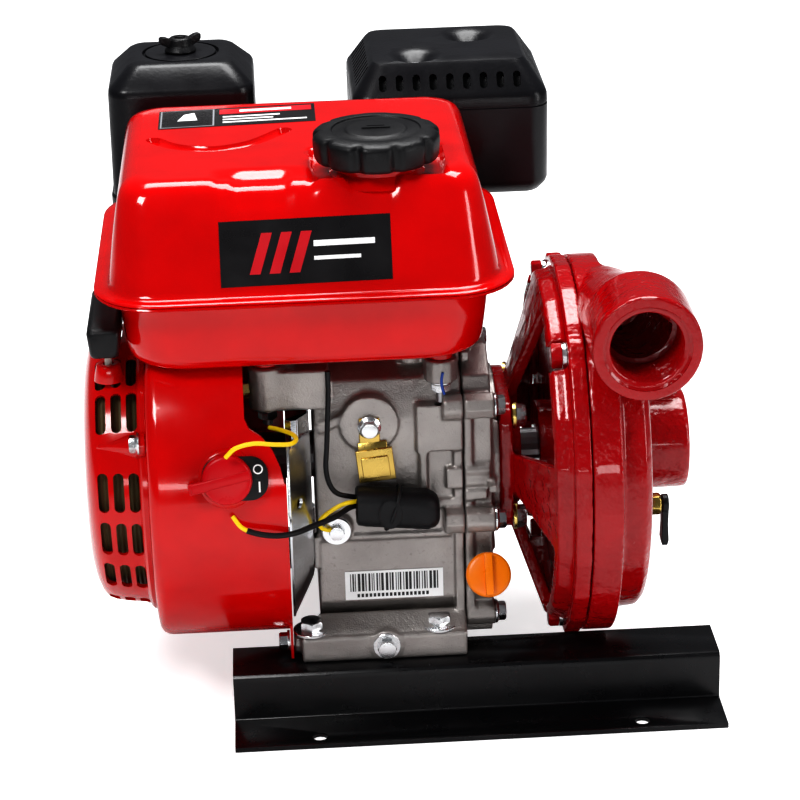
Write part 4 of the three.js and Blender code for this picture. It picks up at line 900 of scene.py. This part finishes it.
def make_case_marks():
    def plate(name, x0, x1, z0, z1, finish, y=-52.5):
        flat_patch(name, [(x0, y, z0), (x1, y, z0), (x1, y, z1), (x0, y, z1)], finish,
                   (0, -0.2, 0))

    plate("bar_label", -93, -35, 33, 51.5, "label_white", -52.3)
    x = -90.0
    step = 0
    while x < -38.5:
        width = (0.5, 1.1, 0.7, 1.5, 0.5, 0.9)[(step * 5 + step // 4) % 6]
        plate(f"bar_{step:02d}", x, x + width, 38.5, 50, "label_black")
        x += width + (0.8, 0.6, 1.2)[step % 3]
        step += 1
    for i in range(18):
        x = -86 + i * 2.4
        plate(f"bar_foot_{i:02d}", x, x + 1.5, 34.6, 36.8, "label_black")


# ---- filler cap ----
def make_cap():
    lobes = 10
    sides = 240
    z0 = 299

    def ring(z, scale, wave):
        points = []
        for i in range(sides):
            angle = 2 * math.pi * i / sides
            notch = max(0.0, math.cos(lobes * angle + 0.4)) ** 3
            r = 36.0 * scale - 2.6 * wave * notch
            points.append(v(CAP.x + r * math.cos(angle), CAP.y + r * math.sin(angle), z))
        return points

    bm = bmesh.new()
    profile = [(z0, 0.93, 0.9), (z0 + 0.8, 0.965, 1), (z0 + 2.5, 0.985, 1), (z0 + 9, 1.0, 1),
               (z0 + 12.6, 1.0, 1), (z0 + 14.2, 0.985, 0.9), (z0 + 15.4, 0.945, 0.6),
               (z0 + 16.2, 0.88, 0.2), (z0 + 16.6, 0.80, 0), (z0 + 16.8, 0.72, 0), (z0 + 16.6, 0.70, 0),
               (z0 + 15.8, 0.685, 0), (z0 + 15.8, 0.50, 0), (z0 + 16.1, 0.485, 0), (z0 + 16.5, 0.47, 0),
               (z0 + 16.7, 0.44, 0), (z0 + 16.8, 0.20, 0)]
    loft(bm, [ring(*level) for level in profile])
    rod(bm, v(CAP.x, CAP.y, 292), v(CAP.x, CAP.y, 300), 20.5, 64, chamfer=1.0)
    box(bm, CAP.x - 8, CAP.x + 8, CAP.y - 1.2, CAP.y + 1.2, z0 + 16.4, z0 + 17.5)
    box(bm, CAP.x - 5, CAP.x + 5, CAP.y + 3, CAP.y + 4.6, z0 + 16.4, z0 + 17.3)
    piece("cap_body", bm, "black_plastic", body="cap", replaces=["fuel_cap"], angle=40)


# ---- air cleaner and muffler guard ----
def boxy(levels, base, straight=6):
    x0, x1, y0, y1 = base
    return [[v(x, y, z) for x, y in rounded_ring(x0 + i, x1 - i, y0 + i, y1 - i, r, 8, straight)]
            for z, i, r in levels]


def make_cleaner():
    base = (-226, -132, 121, 210)
    middle = v(-179, 165.5, 0)
    bm = bmesh.new()
    loft(bm, boxy([
        (222, 0.6, 14), (223, 0, 14), (230, 0, 14), (231, 1.2, 14), (294, 1.8, 13), (297.5, 2.2, 12.5),
        (299.5, 3.4, 11.5), (310, 14, 9), (311.4, 16.5, 8), (312, 20, 7), (312, 30, 5), (312, 40, 3)],
        base))
    tools = bmesh.new()
    lathe(tools, v(middle.x, middle.y, 309.6), v(0, 0, 1),
          [(22, 0), (24, 0), (24, 5), (22, 5)], 96, True)
    box(tools, middle.x - 30, middle.x + 30, middle.y + 8, middle.y + 40, 309, 309.3)
    rod(tools, v(middle.x, middle.y, 300), v(middle.x, middle.y, 320), 3.7, 32)
    piece("cleaner_shell", bm, "guard_black", body="cleaner_cover", replaces=["air_cleaner_cover"],
          cuts=tools, angle=28, bevel=(0.5, 2))
    bm = from_node("air_cleaner_base")
    piece("cleaner_base", bm, "black_plastic", replaces=["air_cleaner_base"], bevel=(0.5, 2), angle=40)

    bm = bmesh.new()
    lathe(bm, v(middle.x, middle.y, 312.3), v(0, 0, 1), [
        (3.3, 0), (9.5, 0), (10, 0.8), (9.4, 2), (7.6, 4), (7, 8), (5.8, 9), (3.3, 9)], 48, True)
    turn = math.radians(20)
    out = v(math.cos(turn), math.sin(turn), 0)
    side = v(-math.sin(turn), math.cos(turn), 0)
    for sign in (-1, 1):
        rings = []
        for reach, low, high, half in ((4, 2, 7.5, 2.6), (7, 3, 9, 2.4), (9.5, 4.4, 10.2, 2.2),
                                       (12.2, 5.6, 10.6, 2.0), (13.6, 7.2, 9.8, 1.4)):
            at = v(middle.x, middle.y, 312) + out * (sign * reach)
            rings.append([at + side * half + v(0, 0, low), at + side * half + v(0, 0, high),
                          at - side * half + v(0, 0, high), at - side * half + v(0, 0, low)])
        loft(bm, rings)
    piece("wing_nut_body", bm, "black_plastic", body="wing_nut", replaces=["wing_nut"], bevel=(0.8, 3))


def stadium(bm, centre, along, across, normal, length, width, depth, sides=10):
    """A slot-shaped tool: straight sides and round ends."""
    along, across, normal = along.normalized(), across.normalized(), normal.normalized()
    straight = length / 2 - width / 2
    points = []
    for end, start in ((1, -90), (-1, 90)):
        for i in range(sides + 1):
            angle = math.radians(start + 180 * i / sides)
            points.append(centre + along * (end * straight + width / 2 * math.cos(angle))
                          + across * (width / 2 * math.sin(angle)))
    loft(bm, [[p - normal * depth / 2 for p in points], [p + normal * depth / 2 for p in points]])


def make_guard():
    base = (-74, 48, 121, 232)
    bm = bmesh.new()
    loft(bm, boxy([
        (223, 7, 8), (224, 5.4, 9), (229, 1.4, 11), (232, 0.3, 12), (279.4, 0, 12), (279.8, 0.7, 12),
        (280.8, 0.7, 12), (281.2, 0, 12), (286, 0.2, 12), (288.4, 1.0, 11.5), (290, 2.2, 11),
        (305, 12.2, 9), (307, 14.2, 8), (308, 17.5, 7), (308, 26, 5), (308, 40, 3)], base))
    tools = bmesh.new()
    loft(tools, boxy([(220, 9.4, 8), (229, 4, 10), (282, 2.6, 10)], base))
    slope = v(0, 10, 15).normalized()
    for i in range(9):
        centre = v(-54.5 + i * 10.4, 121 + 6.4, 296.4)
        stadium(tools, centre, slope, v(1, 0, 0), v(0, -15, 10), 10.5, 4.6, 12)
    for side, x in ((-1, base[0] + 7.2), (1, base[1] - 7.2)):
        for i in range(11):
            centre = v(x, 143 + i * 7.0, 297.6)
            stadium(tools, centre, v(-side * 10, 0, 15), v(0, 1, 0), v(side * 15, 0, 10), 15, 2.6, 5)
    for x, y in ((-33, 150), (3, 194)):
        lathe(tools, v(x, y, 309), v(0, 0, -1), [(19, 0), (17, 1.0), (12, 3.4), (7, 8.0), (5.6, 9)], 64)
    piece("guard_shell", bm, "guard_black", replaces=["muffler_guard"], cuts=tools, angle=26)
    for i, (x, y) in enumerate(((-33, 150), (3, 194))):
        bm = bmesh.new()
        rod(bm, v(x, y, 299.8), v(x, y, 302), 5.2, 32, chamfer=0.8)
        piece(f"guard_bolt_{i + 1}", bm, "bolt_zinc")


# ---- blower housing, shield, recoil starter ----
BLOWER_RADIUS = 104


def blower_ring(inset, x, steps=96):
    """The blower's outline at a place along the crank: round, with a square rear top corner."""
    radius, top, side, low = BLOWER_RADIUS - inset, 189 - inset, 112 - inset, 78
    start = math.acos((top - CRANK_Z) / radius) + math.pi / 2
    finish = math.radians(300)
    points = []
    for i in range(9):
        angle = math.radians(90 * i / 8)
        points.append(v(x, side - 10 + 10 * math.cos(angle), top - 10 + 10 * math.sin(angle)))
    for i in range(steps + 1):
        angle = start + (finish - start) * i / steps
        points.append(v(x, radius * math.cos(angle), CRANK_Z + radius * math.sin(angle)))
    points.append(v(x, side - 1, low))
    return points


def make_blower():
    bm = bmesh.new()
    loft(bm, [blower_ring(0.4, -125), blower_ring(0, -125.6), blower_ring(0, -196),
              blower_ring(0.5, -198.6), blower_ring(1.8, -201), blower_ring(4, -202.5),
              blower_ring(7, -203)])
    box(bm, -126.6, -125, -62, -43, 1, 28)
    out, up = spoke(17)
    hub = v(-158, 0, CRANK_Z) + out * 105
    lathe(bm, hub - out * 8, out, [(19, 0), (17, 6), (15.6, 7.6), (14.6, 8), (5, 8)], 72)
    tools = bmesh.new()
    loft(tools, [blower_ring(1.7, -120), blower_ring(1.7, -196), blower_ring(5, -201.4)])
    rod(tools, v(-210, 0, CRANK_Z), v(-195, 0, CRANK_Z), 76, 96)
    notch = [(-147, 200), (-147, 166), (-144.5, 161), (-138, 157), (-132, 150), (-128, 141),
             (-126, 132), (-118, 128), (-118, 200)]
    loft(tools, [[v(x, y, z) for x, z in notch] for y in (-112, -36)])
    rod(tools, v(-131, -52, 7.8), v(-120, -52, 7.8), 3.4, 24)
    piece("blower_shell", bm, "red_gloss", replaces=["blower_housing"], cuts=tools, angle=38)

    bm = bmesh.new()
    ring = rounded_ring(-14, 23, -12.5, 12.5, 10, 10)
    loft(bm, [[hub + v(x, 0, 0) + up * b + out * reach for x, b in ring] for reach in (0.3, 2.3)])
    piece("switch_plate", bm, "black_plastic", replaces=["stop_switch_plate"], bevel=(0.5, 2))
    bm = bmesh.new()
    lathe(bm, hub + v(17.5, 0, 0) + up * 5 + out * 2.35, out,
          [(2.0, 0), (2.8, 0), (2.8, 0.15), (2.0, 0.15)], 32, True)
    slanted_box(bm, hub + v(18, 0, 0) - up * 5 + out * 2.4, (v(1, 0, 0), up, out), (1.0, 6, 0.2))
    piece("switch_marks", bm, "label_white")

    bm = bmesh.new()
    lathe(bm, hub + out * 2.8, out,
          [(4, 0), (14, 0), (14.2, 1), (14, 4.6), (13, 5.8), (10, 6.3), (4, 6.5)], 64)
    turn = math.radians(12)
    along = v(math.cos(turn), 0, 0) + up * math.sin(turn)
    across = out.cross(along)
    for place, rise, size in ((-3.5, 6.4, (34, 5.6, 6.75)), (-15, 6.2, (14, 6.4, 6))):
        slanted_box(bm, hub + out * rise + along * place, (along, across, out), size)
    piece("switch_knob", bm, "red_plastic", body="stop_knob", replaces=["stop_switch_knob"],
          bevel=(1.3, 3))

    bm = bmesh.new()
    lathe(bm, v(0, 0, CRANK_Z), v(1, 0, 0), [
        (97, -124.2), (97, -123.0), (95, -122.4), (80, -114.5), (73, -111.2), (70, -110.5), (40, -110.5),
        (40, -111.7), (69.5, -111.7), (72.5, -112.4), (79, -115.6), (94, -123.6), (95.5, -124.2)],
        96, True)
    tools = bmesh.new()
    box(tools, -147, -98, -86, -36, 146, 190)
    box(tools, -130, -98, -120, 120, 194, 210)
    box(tools, -131, -98, -70, -36, 0, 21)
    box(tools, -131, -98, 58, 122, 0, 18)
    rod(tools, v(-126, -86, 113), v(-108, -86, 113), 3.2, 24)
    piece("shield_plate", bm, "zinc_steel", replaces=["side_shield"], cuts=tools, angle=40)
    bm = bmesh.new()
    fold = [(-124.6, -69.5), (-121, -72), (-118, -71), (-111.5, -60)]
    outline = [v(x, y, 0) for x, y in fold] + [v(x + 0.9, y + 1.0, 0) for x, y in reversed(fold)]
    loft(bm, [[p + v(0, 0, z) for p in outline] for z in (96, 158)])
    piece("shield_tongue", bm, "zinc_steel", bevel=(0.3, 2))


RECOIL_ARMS = (30, 150, 270)
ROPE_PLACE = (-223.5, -40.5)


def make_recoil():
    axis = v(1, 0, 0)
    centre = v(0, 0, CRANK_Z)
    profile = [(88, -203.3), (88, -206), (86.5, -207.6), (84.6, -208.4), (84, -210), (82.6, -222),
               (81.3, -229), (79.6, -232.6), (76, -235.6), (70, -238.2), (62, -240), (46, -241),
               (26, -241), (25, -239.6), (12, -239.4)]
    inner = [(r - 2.2, x + 2.2) for r, x in reversed(profile[2:])]
    bm = bmesh.new()
    lathe(bm, centre, axis, profile + [(1, -239.4), (1, -237)] + inner + [(82, -203.3)], 144, True)
    tools = bmesh.new()
    for arm in RECOIL_ARMS:
        for row, length in ((32.2, 16), (13.5, 18), (-18.8, 17), (-39, 16), (-60, 17)):
            out, up = spoke(arm + row)
            for x in (-229.0, -220.0, -211.2):
                stadium(tools, centre + v(x, 0, 0) + out * 80, up, axis, out, length + 6, 6.0, 14)
    for i in range(12):
        angle = math.radians(i * 30)
        out = v(0, math.cos(angle), math.sin(angle))
        up = v(0, -math.sin(angle), math.cos(angle))
        stadium(tools, centre + v(-240, 0, 0) + out * 46, out, up, axis, 26, 6, 12)
    piece("recoil_shell", bm, "red_gloss", replaces=["recoil_cover"], cuts=tools, angle=38)
    bm = bmesh.new()
    ripples = [(74.5 + 0.9 * (i % 2), -232 + i * 1.3) for i in range(20)]
    lathe(bm, centre, axis, ripples + [(73.4, -207.3), (73.4, -232)], 96, True)
    piece("recoil_screen", bm, "screen", angle=40)
    bm = bmesh.new()
    lathe(bm, v(*ROPE_PLACE, 176), v(0, 0, 1),
          [(3.2, 0), (9, 0), (7, 9), (6, 10), (3.2, 10)], 40, True)
    for arm in RECOIL_ARMS:
        out, up = spoke(arm)
        rod(bm, centre + out * 86 + v(-209, 0, 0), centre + out * 86 + v(-203.6, 0, 0), 7.4, 32)
        ridge = []
        for x, reach, half in ((-236, 73, 1.5), (-231, 81.4, 3), (-222, 84.6, 5.5), (-212, 88, 8.5),
                               (-207, 90, 10)):
            ridge.append([centre + v(x, 0, 0) + out * (reach - 12 + 12 * math.cos(a))
                          + up * (half * math.sin(a)) for a in FULL_TURN])
        loft(bm, ridge)
    piece("recoil_ears", bm, "red_gloss", bevel=(0.6, 2))
    for i, arm in enumerate(RECOIL_ARMS):
        seat = centre + spoke(arm)[0] * 89 + v(-207, 0, 0)
        fixing(f"recoil_bolt_{i + 1}", seat, v(-1, 0, 0), 9, 4.6, flange=6.6)

    grip = v(-223.5, 0, 208)
    bm = bmesh.new()
    rings = []
    for y, inset in ((-70, 2.4), (-69, 1), (-66, 0), (-2, 0), (1, 1), (2, 2.4)):
        ring = rounded_ring(-9.5 + inset, 9.5 - inset, -9 + inset, 9 - inset, 3.5, 6)
        rings.append([grip + v(x * (1.0 if z > 0 else 0.88), y, z) for x, z in ring])
    loft(bm, rings)
    tools = bmesh.new()
    rod(tools, v(*ROPE_PLACE, 198), v(*ROPE_PLACE, 211.5), 2.9, 24)
    piece("grip_body", bm, "black_plastic", body="grip", replaces=["starter_grip"], cuts=tools, angle=40)

    low, start, end = (v(*ROPE_PLACE, z) for z in (130, 186, 206))
    count = 60
    path = [low + (end - low) * (i / count) for i in range(count + 1)]
    bm = bmesh.new()
    tube(bm, path, 2.1, 12)
    rope = piece("rope_body", bm, "rope", replaces=["starter_rope"], angle=60)
    rope.parent = None
    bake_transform(rope)


# ---- small pieces at the front of the case ----
def make_front_details():
    bm = bmesh.new()
    rings = []
    for x, inset in ((-85.5, 1.6), (-84.5, 0.4), (-80, 0), (-44, 0), (-40, 1.2), (-38, 3), (-37, 5.5)):
        ring = rounded_ring(-73.5 + inset, -53.5 - inset, -11.5 + inset, 11.5 - inset, 8, 8)
        rings.append([v(x, y, 97 - (x + 60) * 0.1 + z) for y, z in ring])
    loft(bm, rings)
    tools = bmesh.new()
    box(tools, -90, -76, -71, -56, 93, 107)
    piece("alert_sleeve", bm, "rubber", replaces=["oil_alert_unit"], cuts=tools, angle=40)
    bm = bmesh.new()
    path = []
    for i in range(33):
        angle = 2 * math.pi * i / 32
        rise = math.sin(angle)
        path.append(v(-64 + 4.5 * rise, -63.5 + 10.9 * math.cos(angle), 97.3 + 12.6 * rise))
    tube(bm, path, 1.2, 10)
    rings = [[v(-66 + 7 * math.cos(a) * share, -73.9 - lift, 97.4 + 9 * math.sin(a) * share)
              for a in FULL_TURN]
             for share, lift in ((1.0, 0), (0.9, 0.5), (0.6, 0.5))]
    loft(bm, rings)
    piece("alert_strap", bm, "rubber", angle=60)

    bm = bmesh.new()
    lean = (v(1, 0, 0.1), v(-0.1, 0, 1), v(0, 1, 0))
    for place, axes, size in (
            ((-76, -55.2, 142), (v(1, 0, 0), v(0, 0, 1), v(0, 1, 0)), (12, 17, 1.2)),
            ((-74.5, -56.6, 133.2), (v(1, 0, 0.08), v(0.05, -0.6, -1), v(0, 1, -0.6)), (17, 6, 1.2)),
            ((-73, -58.2, 122.4), lean, (21.5, 20, 2.6)),
            ((-73, -60.0, 121.6), lean, (16, 13, 1.6)),
            ((-62.8, -56, 122), lean, (1.2, 18, 6))):
        slanted_box(bm, v(*place), axes, size)
    piece("clip_strap", bm, "brass", replaces=["brass_clip"], bevel=(1.0, 3))

    axis, up = spoke(30)
    seat = v(-9.5, -65.5, 51.5)
    bm = bmesh.new()
    lathe(bm, seat, axis, [(2, 2.6), (12.6, 2.6), (13.2, 3.4), (13.2, 6.4), (12.2, 7.6),
                           (10.5, 8.2), (2, 8.4)], 72)
    lathe(bm, seat, axis, [(2, -14), (6.5, -14), (6.9, -13), (6.9, 3), (2, 3)], 40)
    rod(bm, seat - axis * 42, seat - axis * 12, 2.1, 20)
    slanted_box(bm, seat + axis * 9.4, (up, v(1, 0, 0), axis), (24.5, 4.6, 6.0))
    piece("dipstick_cap", bm, "orange_plastic", body="dipstick", replaces=["dipstick"], bevel=(0.9, 3))
    bm = bmesh.new()
    lathe(bm, seat, axis, [(7.3, 0.3), (11, 0.3), (11.4, 1.3), (11, 2.3), (7.3, 2.3)], 48, True)
    piece("dipstick_ring", bm, "rubber", body="dipstick_pull", replaces=["dipstick_seal"])

    bm = bmesh.new()
    tube(bm, [v(-33.4 - 0.1 * i * (6 - i), -63.35, 180 - i * 1.9) for i in range(8)], 0.8, 8)
    piece("lug_paint_mark", bm, "ink_blue", angle=60)


def carry_over():
    """Finishes for the CAD shapes that stay as they are, and softened edges where they show."""
    for finish, nodes in (
            ("black_steel", ["rocker_cover"]),
            ("steel", ["spark_plug", "crankshaft", "muffler"]),
            ("rubber", ["spark_plug_cap", "pto_oil_seal", "fuel_cap_gasket", "pump_shaft_seal"]),
            ("cast_aluminium", ["flywheel_fan"]),
            ("filter_paper", ["air_filter_element"]),
            ("black_plastic", ["starter_reel", "intake_insulator", "choke_lever",
                               "fuel_cock_lever", "throttle_lever"])):
        for node in nodes:
            NODES[node].data.materials.clear()
            NODES[node].data.materials.append(FINISH[finish])
            smooth_by_angle(NODES[node].data, 35)
    for node in ("front_rail", "rear_rail"):
        bm = from_node(node)
        piece(node + "_folded", bm, "black_steel", replaces=[node], bevel=(0.5, 2), angle=40)


make_leads()
make_fixings()
make_castings()
make_casing()
make_drain_cock()
make_tank()
make_labels()
make_case_marks()
make_cap()
make_cleaner()
make_guard()
make_blower()
make_recoil()
make_front_details()
carry_over()
